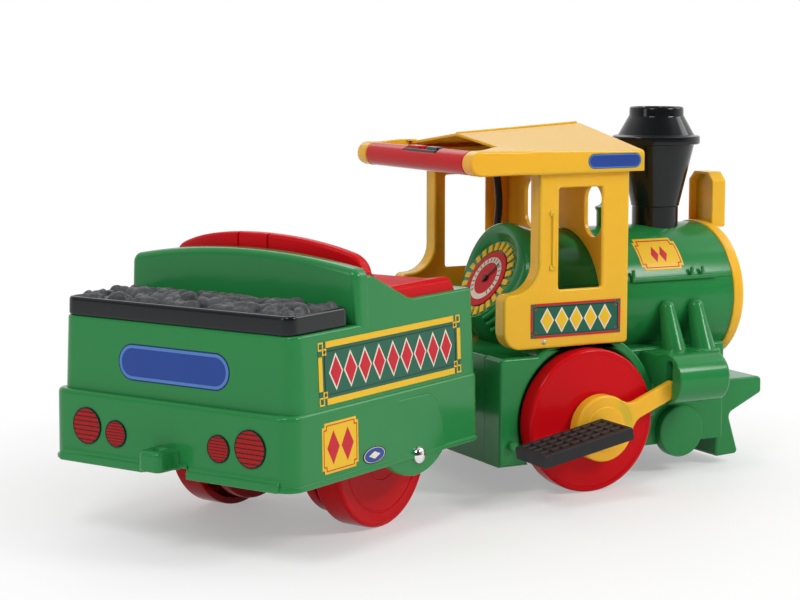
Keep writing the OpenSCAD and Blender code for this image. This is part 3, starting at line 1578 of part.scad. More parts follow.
loco_body();
boiler_top();
backhead();
gauge_plate();
smokebox_front();
headlamp_lens();
stack_base();
stack_cap();
steam_dome();
cab_side_right();
cab_side_left();
cab_front();
cab_roof();
grip_bar();
switch_plate();
go_button();
sound_button();
button_switches();
handle_lead();
sound_module();
speaker();
cab_screws();
front_bushes();
front_axle();
front_wheel_right();
front_wheel_left();
side_rod_right();
side_rod_left();
pedal_right();
pedal_left();
pedal_pins_right();
pedal_pins_left();
tender_body();
pivot_bolt();
pivot_nut();
pivot_washers();
seat();
coal_lid();
coal_bin();
tail_lights();
rear_axle();
axle_caps();
rear_wheel_right();
rear_wheel_left();
wheel_disc_right();
wheel_disc_left();
axle_spacers();
gearbox_right();
gearbox_left();
motor();
motor_pinion();
layshaft();
lay_gear();
drive_gear();
battery();
battery_strap();
seat_screws();
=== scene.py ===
"""Looks of a ride-on steam train: moulded shells, wheels, seat, coal and printed labels around its frame.

Local sizes are millimetres in two frames: the locomotive's, whose origin lies on the floor under the front
axle with +X forward, and the tender's, whose origin lies under the pivot. Place turns them into metres in the
row frame.
"""

import json
import logging
import math
from collections.abc import Callable, Sequence
from dataclasses import dataclass, field
from enum import Enum

import bmesh
import bpy
import numpy as np
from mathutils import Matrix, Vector
from mathutils.geometry import tessellate_polygon

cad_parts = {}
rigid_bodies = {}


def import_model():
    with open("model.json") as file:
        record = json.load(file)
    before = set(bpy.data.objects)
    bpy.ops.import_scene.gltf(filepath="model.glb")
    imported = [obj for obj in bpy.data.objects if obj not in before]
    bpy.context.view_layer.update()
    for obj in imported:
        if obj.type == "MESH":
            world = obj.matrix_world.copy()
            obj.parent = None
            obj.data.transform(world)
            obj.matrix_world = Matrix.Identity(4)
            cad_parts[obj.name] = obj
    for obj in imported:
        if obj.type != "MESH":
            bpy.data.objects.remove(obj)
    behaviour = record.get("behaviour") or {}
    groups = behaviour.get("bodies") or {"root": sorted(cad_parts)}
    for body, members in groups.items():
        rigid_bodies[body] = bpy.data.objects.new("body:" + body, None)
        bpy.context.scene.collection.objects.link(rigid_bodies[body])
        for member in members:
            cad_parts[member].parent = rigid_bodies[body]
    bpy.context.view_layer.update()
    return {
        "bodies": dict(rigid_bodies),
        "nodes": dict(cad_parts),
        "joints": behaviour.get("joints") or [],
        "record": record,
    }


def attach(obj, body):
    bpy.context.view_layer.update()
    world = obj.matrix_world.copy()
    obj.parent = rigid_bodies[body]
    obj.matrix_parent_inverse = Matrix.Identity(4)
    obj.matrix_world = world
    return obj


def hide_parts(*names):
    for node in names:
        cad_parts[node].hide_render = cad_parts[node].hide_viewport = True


LOG = logging.getLogger("train")
MM = 0.001
Array = np.ndarray


class Axis(Enum):
    """The local axis that a slab's thickness or a turned shape's axle lies along."""

    X = (2, 0, 1)
    Y = (0, 2, 1)
    Z = (0, 1, 2)


@dataclass
class Shape:
    """Points in millimetres and the faces between them, gathered from several surfaces."""

    points: Array = field(default_factory=lambda: np.zeros((0, 3)))
    faces: list[list[int]] = field(default_factory=list)

    def __add__(self, other: "Shape") -> "Shape":
        """Both shapes as one."""
        shift = len(self.points)
        moved = [[i + shift for i in face] for face in other.faces]
        return Shape(np.vstack([self.points, other.points]), self.faces + moved)

    def mapped(self, change: Callable[[Array], Array]) -> "Shape":
        """The same faces on changed points."""
        return Shape(change(self.points), self.faces)

    def mirrored(self) -> "Shape":
        """The shape on the other side of the middle plane."""
        return Shape(self.points * np.array([1.0, -1.0, 1.0]), self.faces)


@dataclass(frozen=True)
class Place:
    """A local frame: its origin on the floor in metres and its turn about Z in radians."""

    origin: tuple[float, float]
    turn: float

    def put(self, points: Array) -> Array:
        """Turn local millimetres into metres in the row frame.

        Args:
            points: local points, one a row.

        Returns:
            The points turned about Z by the frame's angle and shifted to its origin.
        """
        return spin(points, self.turn) * MM + np.array([*self.origin, 0.0])


def grid(points: Array, wrap_rows: bool = False, wrap_columns: bool = False) -> Shape:
    """A surface of quads over a grid of points: cell (i, j) joins rows i, i+1 and columns j, j+1.

    Args:
        points: an array of rows, columns and coordinates.
        wrap_rows: whether the last row joins the first.
        wrap_columns: whether the last column joins the first.

    Returns:
        The surface.
    """
    rows, columns = points.shape[:2]
    i = np.arange(rows if wrap_rows else rows - 1)[:, None]
    j = np.arange(columns if wrap_columns else columns - 1)[None, :]
    up, right = (i + 1) % rows, (j + 1) % columns
    quads = np.stack([i * columns + j, i * columns + right, up * columns + right, up * columns + j], -1)
    return Shape(points.reshape(-1, 3), quads.reshape(-1, 4).tolist())


def arc(centre: Sequence[float], radius: float, start: float, end: float, count: int = 24) -> Array:
    """Points of a circle from one angle in degrees to another."""
    a = np.radians(np.linspace(start, end, count))
    return np.stack([centre[0] + radius * np.cos(a), centre[1] + radius * np.sin(a)], -1)


def circle(centre: Sequence[float], radius: float, count: int) -> Array:
    """So many points of a whole circle."""
    return arc(centre, radius, 0, 360, count + 1)[:-1]


def spin(points: Array, angle: float) -> Array:
    """Points turned anticlockwise in their first two coordinates by an angle in radians."""
    c, s = math.cos(angle), math.sin(angle)
    return np.column_stack([points[:, :2] @ np.array([[c, s], [-s, c]]), points[:, 2:]])


def rounded(corners: Sequence[Sequence[float]], steps: int = 6) -> Array:
    """An outline with tangent arcs for corners: centre = corner + bisector * r / sin(half angle).

    Args:
        corners: a row of two coordinates and a radius for each corner.
        steps: pieces of each arc.

    Returns:
        The closed outline's points.
    """
    table = np.asarray(corners, float)
    p, r = table[:, :2], np.maximum(table[:, 2:], 0.02)
    back, ahead = np.roll(p, 1, 0) - p, np.roll(p, -1, 0) - p
    back /= np.linalg.norm(back, axis=1, keepdims=True)
    ahead /= np.linalg.norm(ahead, axis=1, keepdims=True)
    half = np.arccos(np.clip((back * ahead).sum(1, keepdims=True), -1, 1)) / 2
    middle = back + ahead
    middle /= np.linalg.norm(middle, axis=1, keepdims=True)
    centre = p + middle * r / np.sin(half)
    first = p + back * r / np.tan(half) - centre
    last = p + ahead * r / np.tan(half) - centre
    begin = np.arctan2(first[:, 1], first[:, 0])
    turn = np.arctan2(last[:, 1], last[:, 0]) - begin
    turn = (turn + np.pi) % (2 * np.pi) - np.pi
    a = begin[:, None] + turn[:, None] * np.linspace(0, 1, steps + 1)
    ring = centre[:, None] + r[:, None] * np.stack([np.cos(a), np.sin(a)], -1)
    return ring.reshape(-1, 2)


def loop_of(outline: Array) -> Array:
    """A closed outline run anticlockwise, without repeated points."""
    gap = np.linalg.norm(np.roll(outline, -1, 0) - outline, axis=1)
    loop = outline[gap > 0.01]
    x, y = loop[:, 0], loop[:, 1]
    area = (x * np.roll(y, -1) - np.roll(x, -1) * y).sum()
    return loop if area > 0 else loop[::-1]


def inset(loop: Array, depth: Array | float) -> Array:
    """An anticlockwise loop moved inwards along its mitres.

    A mitre is the sum of two edge normals over one plus their product.
    """
    edge = np.roll(loop, -1, 0) - loop
    normal = np.stack([-edge[:, 1], edge[:, 0]], -1) / np.linalg.norm(edge, axis=1, keepdims=True)
    before = np.roll(normal, 1, 0)
    mitre = (normal + before) / np.maximum(1 + (normal * before).sum(1, keepdims=True), 0.4)
    return loop + mitre * np.reshape(depth, (-1, 1))


def resampled(loop: Array, step: float) -> Array:
    """A closed loop with points an even step apart along its length."""
    closed = np.vstack([loop, loop[:1]])
    along = np.concatenate([[0], np.cumsum(np.linalg.norm(np.diff(closed, axis=0), axis=1))])
    spots = np.linspace(0, along[-1], int(along[-1] / step), endpoint=False)
    return np.stack([np.interp(spots, along, closed[:, k]) for k in (0, 1)], -1)


def edge_rows(span: Sequence[float], fillet: Sequence[float], steps: int = 4) -> Array:
    """Rows of inset and height for a slab's rim: a quarter round at each end, straight between."""
    a = np.linspace(0, np.pi / 2, steps + 1)
    low = np.stack([fillet[0] * (1 - np.sin(a)), span[0] + fillet[0] * (1 - np.cos(a))], -1)
    high = np.stack([fillet[1] * (1 - np.sin(a)), span[1] - fillet[1] * (1 - np.cos(a))], -1)[::-1]
    return np.vstack([low if fillet[0] else low[:1], high if fillet[1] else high[:1]])


def slab(
    outline: Array, span: Sequence[float], fillet: Sequence[float], axis: Axis, holes: Sequence[Array] = ()
) -> Shape:
    """A thick plate with rounded rims: inset by r(1 - sin a) at height r(1 - cos a) near each face.

    Args:
        outline: the closed outline in the two axes across the thickness.
        span: the two ends of the thickness.
        fillet: the radius of the rim at the low and at the high end.
        axis: the thickness's axis.
        holes: closed outlines of openings, whose rims are rounded too.

    Returns:
        A closed solid's surface.
    """
    rows = edge_rows(span, fillet)
    shape = Shape()
    starts, rims = [], []
    for k, raw in enumerate([outline, *holes]):
        loop = loop_of(raw)
        side = -1.0 if k else 1.0
        flat = np.stack([inset(loop, side * d) for d in rows[:, 0]])
        heights = np.broadcast_to(rows[:, 1, None, None], (*flat.shape[:2], 1))
        starts.append(len(shape.points))
        rims.append(flat)
        shape = shape + grid(np.concatenate([flat, heights], -1), wrap_columns=True)
    for end in (0, -1):
        ids = np.concatenate([
            s + end % len(f) * f.shape[1] + np.arange(f.shape[1]) for s, f in zip(starts, rims)
        ])
        if holes:
            loops = [[Vector((*p, 0.0)) for p in f[end].tolist()] for f in rims]
            shape.faces += ids[np.array(tessellate_polygon(loops))].tolist()
        else:
            shape.faces.append(ids.tolist())
    return shape.mapped(lambda p: p[:, list(axis.value)])


def cup(outline: Array, span: Sequence[float], wall: float, fillet: float) -> Shape:
    """A box open below: rows run down its inside, across its rim, up its outside and over a round top edge.

    Args:
        outline: the closed plan.
        span: rim and top.
        wall: thickness of the sides and the top.
        fillet: radius of the top edge.

    Returns:
        A closed solid's surface.
    """
    loop = loop_of(outline)
    a = np.linspace(0, np.pi / 2, 5)
    rows = [[wall, span[1] - wall], [wall, span[0]], [0, span[0]]]
    rows += np.column_stack([fillet * (1 - np.cos(a)), span[1] - fillet * (1 - np.sin(a))]).tolist()
    points = np.stack([np.column_stack([inset(loop, d), np.full(len(loop), z)]) for d, z in rows])
    shape = grid(points, wrap_columns=True)
    last = (len(rows) - 1) * len(loop)
    shape.faces += [list(range(len(loop))), list(range(last, last + len(loop)))]
    return shape


def turned(profile: Sequence[Sequence[float]], axis: Axis, centre: Sequence[float], steps: int = 96) -> Shape:
    """A profile of radius and reach spun about an axle: (r cos a, r sin a, reach).

    Args:
        profile: rows of radius and reach along the axle.
        axis: the axle's axis.
        centre: the axle's place in the other two axes.
        steps: pieces of a full turn.

    Returns:
        The surface, closed where the profile starts and ends on the axle.
    """
    p = np.asarray(profile, float)
    a = np.linspace(0, 2 * np.pi, steps, endpoint=False)
    points = np.stack([
        centre[0] + p[:, :1] * np.cos(a),
        centre[1] + p[:, :1] * np.sin(a),
        np.broadcast_to(p[:, 1:], (len(p), steps)),
    ], -1)
    return grid(points, wrap_columns=True).mapped(lambda q: q[:, list(axis.value)])


def ring_wall(path: Array, profile: Sequence[tuple[Array | float, Array | float]]) -> Shape:
    """A closed profile of outset and height carried round a closed path in plan.

    Args:
        path: an anticlockwise loop.
        profile: outset and height of each row, numbers or one value for each point of the path.

    Returns:
        A closed ring.
    """
    rows = [
        np.column_stack([inset(path, -np.asarray(out, float)), np.broadcast_to(z, len(path))])
        for out, z in profile
    ]
    return grid(np.stack(rows), wrap_rows=True, wrap_columns=True)


def tube(path: Array, radius: Array | float, sides: int = 20) -> Shape:
    """A round tube along a path: each ring lies across the tangent, and both ends are closed.

    Args:
        path: points of the middle line.
        radius: one radius, or one for each point.
        sides: points of a ring.

    Returns:
        The closed tube.
    """
    along = np.gradient(path, axis=0)
    along /= np.linalg.norm(along, axis=1, keepdims=True)
    side = np.cross(along, np.array([0.05, 1.0, 0.02]))
    side /= np.linalg.norm(side, axis=1, keepdims=True)
    up = np.cross(along, side)
    a = np.linspace(0, 2 * np.pi, sides, endpoint=False)[None, :, None]
    r = np.broadcast_to(np.asarray(radius, float), len(path))[:, None, None]
    shape = grid(path[:, None] + r * (np.cos(a) * side[:, None] + np.sin(a) * up[:, None]), wrap_columns=True)
    last = (len(path) - 1) * sides
    shape.faces += [list(range(sides)), list(range(last, last + sides))]
    return shape


def relief(x: Array, y: Array, heights: Array, floor: float) -> Shape:
    """A field of heights over a plan, with walls down to a flat floor round its edge."""
    padded = np.pad(heights, 1, constant_values=floor)
    gx, gy = np.meshgrid(np.pad(x, 1, mode="edge"), np.pad(y, 1, mode="edge"), indexing="ij")
    shape = grid(np.stack([gx, gy, padded], -1))
    rows, columns = padded.shape
    ids = np.arange(rows * columns).reshape(rows, columns)
    rim = np.concatenate([ids[0], ids[1:, -1], ids[-1, -2::-1], ids[-2:0:-1, 0]])
    shape.faces.append(rim.tolist())
    return shape


def box_loop(a: Sequence[float], b: Sequence[float], r: float = 0.0, steps: int = 6) -> Array:
    """A rectangle between two coordinates each way, its corners rounded to r."""
    return rounded([[a[0], b[0], r], [a[1], b[0], r], [a[1], b[1], r], [a[0], b[1], r]], steps)


def smoothstep(value: Array, low: float, high: float) -> Array:
    """Zero below low, one above high and 3t^2 - 2t^3 between."""
    t = np.clip((value - low) / (high - low), 0, 1)
    return t * t * (3 - 2 * t)


def feed(tree: bpy.types.NodeTree, node: bpy.types.Node, inputs: dict) -> None:
    """Set a node's inputs.

    Args:
        tree: the tree that holds the node.
        node: the node.
        inputs: for each input, by name or number, a value or the output that feeds it.
    """
    for key, value in inputs.items():
        if isinstance(value, bpy.types.NodeSocket):
            tree.links.new(value, node.inputs[key])
        else:
            node.inputs[key].default_value = value


def add_node(tree: bpy.types.NodeTree, kind: str, inputs: dict | None = None, **settings) -> bpy.types.Node:
    """Add a shader node.

    Args:
        tree: the tree that it joins.
        kind: its type, without the ShaderNode in front.
        inputs: its inputs, as for feed.
        settings: its own properties.

    Returns:
        The node.
    """
    node = tree.nodes.new(f"ShaderNode{kind}")
    for key, value in settings.items():
        setattr(node, key, value)
    feed(tree, node, inputs or {})
    return node


class Effects:
    """Shader node groups that several finishes share, each built once."""

    outputs = {"Colour": "NodeSocketColor", "Roughness": "NodeSocketFloat", "Height": "NodeSocketFloat"}

    @classmethod
    def _group(cls, name: str, inputs: dict[str, float | tuple]) -> tuple:
        """A new group with its sockets.

        Args:
            name: the group's name.
            inputs: each input's name and default, a number or a colour.

        Returns:
            The tree, what comes in, and the node that its results go to.
        """
        tree = bpy.data.node_groups.new(name, "ShaderNodeTree")
        for label, default in inputs.items():
            kind = "NodeSocketColor" if isinstance(default, tuple) else "NodeSocketFloat"
            tree.interface.new_socket(label, in_out="INPUT", socket_type=kind).default_value = default
        for label, kind in cls.outputs.items():
            tree.interface.new_socket(label, in_out="OUTPUT", socket_type=kind)
        return tree, tree.nodes.new("NodeGroupInput").outputs, tree.nodes.new("NodeGroupOutput")

    @classmethod
    def moulded(cls) -> bpy.types.NodeTree:
        """Moulded plastic: slow drift of shade, faint marks in the gloss and a fine pebbled height."""
        name = "moulded_skin"
        if name in bpy.data.node_groups:
            return bpy.data.node_groups[name]
        start = {"Colour": (0.5, 0.5, 0.5, 1.0), "Roughness": 0.3, "Drift": 0.1, "Marks": 0.1}
        tree, head, tail = cls._group(name, start)
        place = add_node(tree, "TexCoord").outputs["Object"]
        drift, marks, pebble = (
            add_node(tree, "TexNoise", {"Vector": place, "Scale": scale, "Detail": detail}).outputs["Fac"]
            for scale, detail in ((5.0, 3.0), (38.0, 6.0), (900.0, 2.0))
        )
        shade = add_node(tree, "Math", {0: drift, 1: head["Drift"], 2: 0.95}, operation="MULTIPLY_ADD")
        tint = add_node(tree, "VectorMath", {0: head["Colour"], "Scale": shade.outputs[0]}, operation="SCALE")
        gloss = {0: marks, 1: head["Marks"], 2: head["Roughness"]}
        worn = add_node(tree, "Math", gloss, operation="MULTIPLY_ADD")
        feed(tree, tail, {"Colour": tint.outputs[0], "Roughness": worn.outputs[0], "Height": pebble})
        return tree

    @classmethod
    def lumps(cls) -> bpy.types.NodeTree:
        """Broken lumps: dark and lighter grey mixed by fine noise, the grey a painted highlight, with a
        roughness from cells and a rough height from layered noise.
        """
        start = {"Dark": (0.01, 0.01, 0.01, 1.0), "Light": (0.06, 0.06, 0.06, 1.0)}
        tree, head, tail = cls._group("broken_lumps", start)
        place = add_node(tree, "TexCoord").outputs["Object"]
        cells = add_node(tree, "TexVoronoi", {"Vector": place, "Scale": 90.0})
        grain = add_node(tree, "TexNoise", {"Vector": place, "Scale": 260.0, "Detail": 5.0}).outputs["Fac"]
        # painted highlight: grain noise mixes the lighter grey into the dark colour
        shades = {"Factor": grain, "A": head["Dark"], "B": head["Light"]}
        mix = add_node(tree, "Mix", shades, data_type="RGBA").outputs["Result"]
        facets = {"Value": cells.outputs["Distance"], "To Min": 0.35, "To Max": 0.7}
        rough = add_node(tree, "MapRange", facets).outputs["Result"]
        feed(tree, tail, {"Colour": mix, "Roughness": rough, "Height": grain})
        return tree

    @staticmethod
    def dressed(
        name: str, skin: bpy.types.NodeTree, values: dict, bump: Sequence[float], more: dict
    ) -> bpy.types.Material:
        """A material that takes its colour, roughness and height from a skin.

        Args:
            name: the material's name.
            skin: the skin's group.
            values: the group's inputs.
            bump: strength and depth of the height.
            more: other inputs of the shader.

        Returns:
            The material.
        """
        made = bpy.data.materials.new(name)
        made.use_nodes = True
        tree = made.node_tree
        skinned = add_node(tree, "Group", values, node_tree=skin).outputs
        relief_in = {"Strength": bump[0], "Distance": bump[1], "Height": skinned["Height"]}
        feed(tree, tree.nodes["Principled BSDF"], {
            "Base Color": skinned["Colour"],
            "Roughness": skinned["Roughness"],
            "Normal": add_node(tree, "Bump", relief_in).outputs["Normal"],
            **more,
        })
        return made


@dataclass(frozen=True)
class Finish:
    """A moulded, printed or plated surface, and the record's slot that it belongs to."""

    name: str
    slot: str
    colour: tuple[float, float, float]
    roughness: float = 0.14
    coat: float = 0.0
    drift: float = 0.1
    marks: float = 0.06
    bump: float = 0.008
    metallic: float = 0.0
    transmission: float = 0.0
    gloss: float = 0.26
    glow: float = 0.0

    def material(self) -> bpy.types.Material:
        """The finish as a node material, built on first use."""
        if self.name in bpy.data.materials:
            return bpy.data.materials[self.name]
        skin = {
            "Colour": (*self.colour, 1.0),
            "Roughness": self.roughness,
            "Drift": self.drift,
            "Marks": self.marks,
        }
        return Effects.dressed(self.name, Effects.moulded(), skin, (self.bump, 0.001), {
            "Metallic": self.metallic,
            "Specular IOR Level": self.gloss,
            "Subsurface Weight": self.glow,
            "Subsurface Radius": (1.0, 0.42, 0.06),
            "Subsurface Scale": 0.014,
            "Transmission Weight": self.transmission,
            "Coat Weight": self.coat,
            "Coat Roughness": 0.08,
        })


@dataclass(frozen=True)
class CoalFinish:
    """Satin black moulded lumps of coal, with a lighter grey mixed in that is painted highlight."""

    name: str = "coal_lumps"
    slot: str = "coal"
    dark: tuple[float, float, float] = (0.012, 0.013, 0.015)
    # painted highlight: this lighter grey, scattered by noise over the black, stands for sheen on the lumps'
    # faces
    light: tuple[float, float, float] = (0.075, 0.077, 0.083)

    def material(self) -> bpy.types.Material:
        """The lumps as a node material."""
        skin = {"Dark": (*self.dark, 1.0), "Light": (*self.light, 1.0)}
        return Effects.dressed(self.name, Effects.lumps(), skin, (0.35, 0.002), {})


GREEN = Finish("green_moulding", "green_plastic", (0.019, 0.215, 0.054))
YELLOW = Finish("yellow_moulding", "yellow_plastic", (0.860, 0.465, 0.030), drift=0.07, gloss=0.18, glow=0.45)
RED = Finish("red_moulding", "red_plastic", (0.580, 0.004, 0.008), roughness=0.12, gloss=0.09)
SEAT = Finish("red_seat", "red_plastic", (0.560, 0.004, 0.008), roughness=0.3, gloss=0.08)
LAMP_RED = Finish("reflector_red", "red_plastic", (0.400, 0.010, 0.009), roughness=0.25, gloss=0.12)
BLACK = Finish(
    "black_moulding", "black_plastic", (0.006, 0.007, 0.008), roughness=0.12, drift=0.3, bump=0.004,
    gloss=0.32,
)
DARK = Finish("dark_satin", "black_plastic", (0.018, 0.019, 0.021), roughness=0.45, drift=0.4, bump=0.1)
TREAD = Finish(
    "pedal_tread", "black_plastic", (0.016, 0.015, 0.016), roughness=0.42, drift=0.5, marks=0.2, bump=0.15
)
SHEATH = Finish("lead_sheath", "lead_rubber", (0.012, 0.012, 0.013), roughness=0.4, drift=0.3, bump=0.05)
NYLON = Finish("natural_nylon", "nylon", (0.70, 0.69, 0.64), roughness=0.45)
STEEL = Finish("zinc_steel", "steel", (0.58, 0.58, 0.57), roughness=0.3, marks=0.2, metallic=1.0, gloss=0.5)
CHROME = Finish(
    "chrome_plate", "chrome", (0.80, 0.80, 0.80), roughness=0.06, drift=0.05, metallic=1.0, gloss=0.5
)
LENS = Finish(
    "clear_lens", "lens", (0.92, 0.93, 0.93), roughness=0.05, drift=0.02, marks=0.02, transmission=0.9,
    gloss=0.5,
)
PRINT = {"roughness": 0.32, "coat": 0.02, "bump": 0.01}
PRINT_GREEN = Finish("print_green", "green_plastic", (0.010, 0.110, 0.062), **PRINT)
PRINT_YELLOW = Finish("print_yellow", "yellow_plastic", (0.800, 0.480, 0.012), **PRINT)
PRINT_RED = Finish("print_red", "red_plastic", (0.540, 0.008, 0.022), **PRINT)
PRINT_CREAM = Finish("print_cream", "yellow_plastic", (0.800, 0.690, 0.580), **{**PRINT, "roughness": 0.35})
PRINT_DARK = Finish("print_dark", "green_plastic", (0.006, 0.007, 0.008), **{**PRINT, "roughness": 0.35})
PRINT_DEEP = Finish("print_deep", "green_plastic", (0.006, 0.020, 0.110), roughness=0.3, bump=0.01)
PRINT_BLUE = Finish(
    "print_blue", "green_plastic", (0.012, 0.045, 0.230), roughness=0.3, coat=0.05, drift=0.5, bump=0.01
)
PRINT_SKY = Finish(
    "print_sky", "green_plastic", (0.070, 0.170, 0.430), roughness=0.3, coat=0.05, drift=0.4, bump=0.01
)


@dataclass
class Bench:
    """Turns shapes into Blender pieces that ride on a body."""

    place: Place
    body: str
    count: int = 0

    def piece(
        self,
        name: str,
        shape: Shape,
        finish: Finish | CoalFinish,
        node: str = "",
        slot: str = "",
        body: str = "",
        sharp: float = 38.0,
        wall: float = 0.0,
        facing: Sequence[float] = (),
    ) -> bpy.types.Object:
        """Make one piece.

        Args:
            name: the piece's name.
            shape: its surface in local millimetres.
            finish: what it is made of.
            node: the node that the piece stands for.
            slot: the record's slot, if not the finish's own; not used.
            body: the body it rides on, if not the bench's own.
            sharp: angle in degrees from which an edge is drawn hard.
            wall: thickness given to an open sheet, inwards.
            facing: the way an open sheet's outside looks, in the local frame.

        Returns:
            The finished object, at the origin.
        """
        mesh = bpy.data.meshes.new(name)
        mesh.from_pydata(self.place.put(shape.points).tolist(), [], shape.faces)
        work = bmesh.new()
        work.from_mesh(mesh)
        bmesh.ops.remove_doubles(work, verts=work.verts, dist=2e-6)
        bmesh.ops.dissolve_degenerate(work, edges=work.edges, dist=1e-6)
        bmesh.ops.recalc_face_normals(work, faces=work.faces)
        if facing:
            tip = self.place.put(np.array([facing, (0.0, 0.0, 0.0)], float))
            total = sum((f.normal * f.calc_area() for f in work.faces), Vector())
            if total.dot(Vector(tip[0] - tip[1])) < 0:
                bmesh.ops.reverse_faces(work, faces=work.faces)
        work.to_mesh(mesh)
        work.free()
        mesh.shade_smooth()
        mesh.set_sharp_from_angle(angle=math.radians(sharp))
        mesh.materials.append(finish.material())
        made = bpy.data.objects.new(name, mesh)
        bpy.context.collection.objects.link(made)
        if wall:
            skin = made.modifiers.new("wall", "SOLIDIFY")
            skin.thickness = wall * MM
            skin.offset = -1.0
        made.modifiers.new("even_shading", "WEIGHTED_NORMAL").keep_sharp = True
        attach(made, body or self.body)
        if node:
            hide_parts(node)
        self.count += 1
        LOG.info("%s: %d faces on %s", name, len(mesh.polygons), body or self.body)
        return made

    def both(self, name: str, shape: Shape, finish: Finish, node: str = "") -> None:
        """Make a piece on the right side and its mirror image on the left; a star in node is the side."""
        for side, form in (("right", shape), ("left", shape.mirrored())):
            self.piece(f"{name}_{side}", form, finish, node.replace("*", side))


@dataclass(frozen=True)
class Lamp:
    """A soft light, so wide and so tall, that looks at a point."""

    name: str
    at: tuple[float, float, float]
    aim: tuple[float, float, float]
    size: tuple[float, float]
    power: float

    def hang(self) -> None:
        """Put the lamp in the scene."""
        light = bpy.data.lights.new(self.name, "AREA")
        light.shape = "RECTANGLE"
        light.size, light.size_y = self.size
        light.energy = self.power
        lamp = bpy.data.objects.new(self.name, light)
        lamp.location = self.at
        lamp.rotation_euler = (Vector(self.aim) - Vector(self.at)).to_track_quat("-Z", "Y").to_euler()
        bpy.context.collection.objects.link(lamp)


@dataclass
class Stage:
    """Camera, floor and soft studio light."""

    eye: tuple[float, float, float] = (-1585.96, -2610.35, 658.47)
    aim: tuple[float, float, float] = (-223.0, -0.1, 281.1)
    lens: float = 88.3
    sensor: float = 36.0
    floor_half: float = 9.0
    paper: tuple[float, float, float, float] = (0.94, 0.94, 0.94, 1.0)
    ambient: float = 0.4
    dim: float = 0.05
    backdrop: tuple[float, float, float] = (0.46, 0.88, 0.0)
    lamps: tuple[Lamp, ...] = (
        Lamp("key_left", (-1.8, -1.4, 2.6), (0.0, 0.0, 0.25), (1.0, 1.0), 31.0),
        Lamp("key_right", (2.0, -2.3, 2.3), (0.0, 0.0, 0.25), (1.0, 1.0), 54.0),
        Lamp("side_right", (2.9, -0.3, 2.1), (0.1, 0.0, 0.3), (1.0, 1.6), 16.0),
        Lamp("back", (0.6, 2.6, 2.6), (0.0, 0.0, 0.3), (1.8, 1.8), 14.0),
        Lamp("side_left", (-3.0, -0.3, 1.5), (-0.3, -0.1, 0.3), (0.7, 1.8), 12.0),
    )

    def build(self, place: Place) -> None:
        """Set up the camera, the floor, the lamps and the world.

        Args:
            place: the locomotive's frame, in which the camera stands.
        """
        eye, aim = place.put(np.array([self.eye, self.aim]))
        shot = bpy.data.cameras.new("camera")
        shot.lens = self.lens
        shot.sensor_width = self.sensor
        shot.clip_end = 60.0
        camera = bpy.data.objects.new("camera", shot)
        camera.location = eye
        camera.rotation_euler = Vector(aim - eye).to_track_quat("-Z", "Y").to_euler()
        bpy.context.collection.objects.link(camera)
        bpy.context.scene.camera = camera
        self._floor()
        for lamp in self.lamps:
            lamp.hang()
        self._world()

    @staticmethod
    def _rays(tree: bpy.types.NodeTree) -> tuple:
        """The camera's ray and, as one mask, the rays of mirrors and of clear things."""
        path = add_node(tree, "LightPath").outputs
        either = {0: path["Is Glossy Ray"], 1: path["Is Transmission Ray"]}
        return path["Is Camera Ray"], add_node(tree, "Math", either, operation="MAXIMUM").outputs[0]

    def _floor(self) -> None:
        """A pale floor that keeps the shadow and fades into the white beyond."""
        h = self.floor_half
        mesh = bpy.data.meshes.new("floor")
        mesh.from_pydata([(-h, -h, 0), (h, -h, 0), (h, h, 0), (-h, h, 0)], [], [(0, 1, 2, 3)])
        floor = bpy.data.objects.new("floor", mesh)
        bpy.context.collection.objects.link(floor)
        paint = bpy.data.materials.new("floor_paper")
        paint.use_nodes = True
        tree = paint.node_tree
        shader = tree.nodes["Principled BSDF"]
        feed(tree, shader, {"Base Color": self.paper, "Roughness": 0.6})
        glow = add_node(tree, "Emission", {"Strength": 1.0})
        place = add_node(tree, "TexCoord").outputs["Object"]
        away = add_node(tree, "VectorMath", {0: place}, operation="LENGTH").outputs["Value"]
        reach = {"Value": away, "From Min": 0.35, "From Max": 1.0, "To Min": 0.34}
        fade = add_node(tree, "MapRange", reach, interpolation_type="SMOOTHSTEP").outputs["Result"]
        camera, mirror = self._rays(tree)
        direct = add_node(tree, "Math", {0: camera, 1: mirror}, operation="MAXIMUM").outputs[0]
        seen = add_node(tree, "Math", {0: direct, 1: fade}, operation="MULTIPLY").outputs[0]
        either = {"Fac": seen, 1: shader.outputs["BSDF"], 2: glow.outputs["Emission"]}
        mix = add_node(tree, "MixShader", either)
        feed(tree, tree.nodes["Material Output"], {"Surface": mix.outputs["Shader"]})
        mesh.materials.append(paint)

    def _world(self) -> None:
        """White to the camera; mirrors meet a white backdrop behind the train and a dim studio before it."""
        world = bpy.data.worlds.new("studio")
        bpy.context.scene.world = world
        world.use_nodes = True
        tree = world.node_tree
        way = {0: add_node(tree, "TexCoord").outputs["Generated"], 1: self.backdrop}
        toward = add_node(tree, "VectorMath", way, operation="DOT_PRODUCT").outputs["Value"]
        reach = {"Value": toward, "From Min": -0.6, "From Max": 0.4, "To Min": self.dim}
        behind = add_node(tree, "MapRange", reach, interpolation_type="SMOOTHSTEP").outputs["Result"]
        camera, mirror = self._rays(tree)
        light = add_node(tree, "Mix", {"Factor": mirror, "A": self.ambient, "B": behind}).outputs["Result"]
        level = add_node(tree, "Mix", {"Factor": camera, "A": light, "B": 1.0}).outputs["Result"]
        feed(tree, tree.nodes["Background"], {"Color": (1.0, 1.0, 1.0, 1.0), "Strength": level})


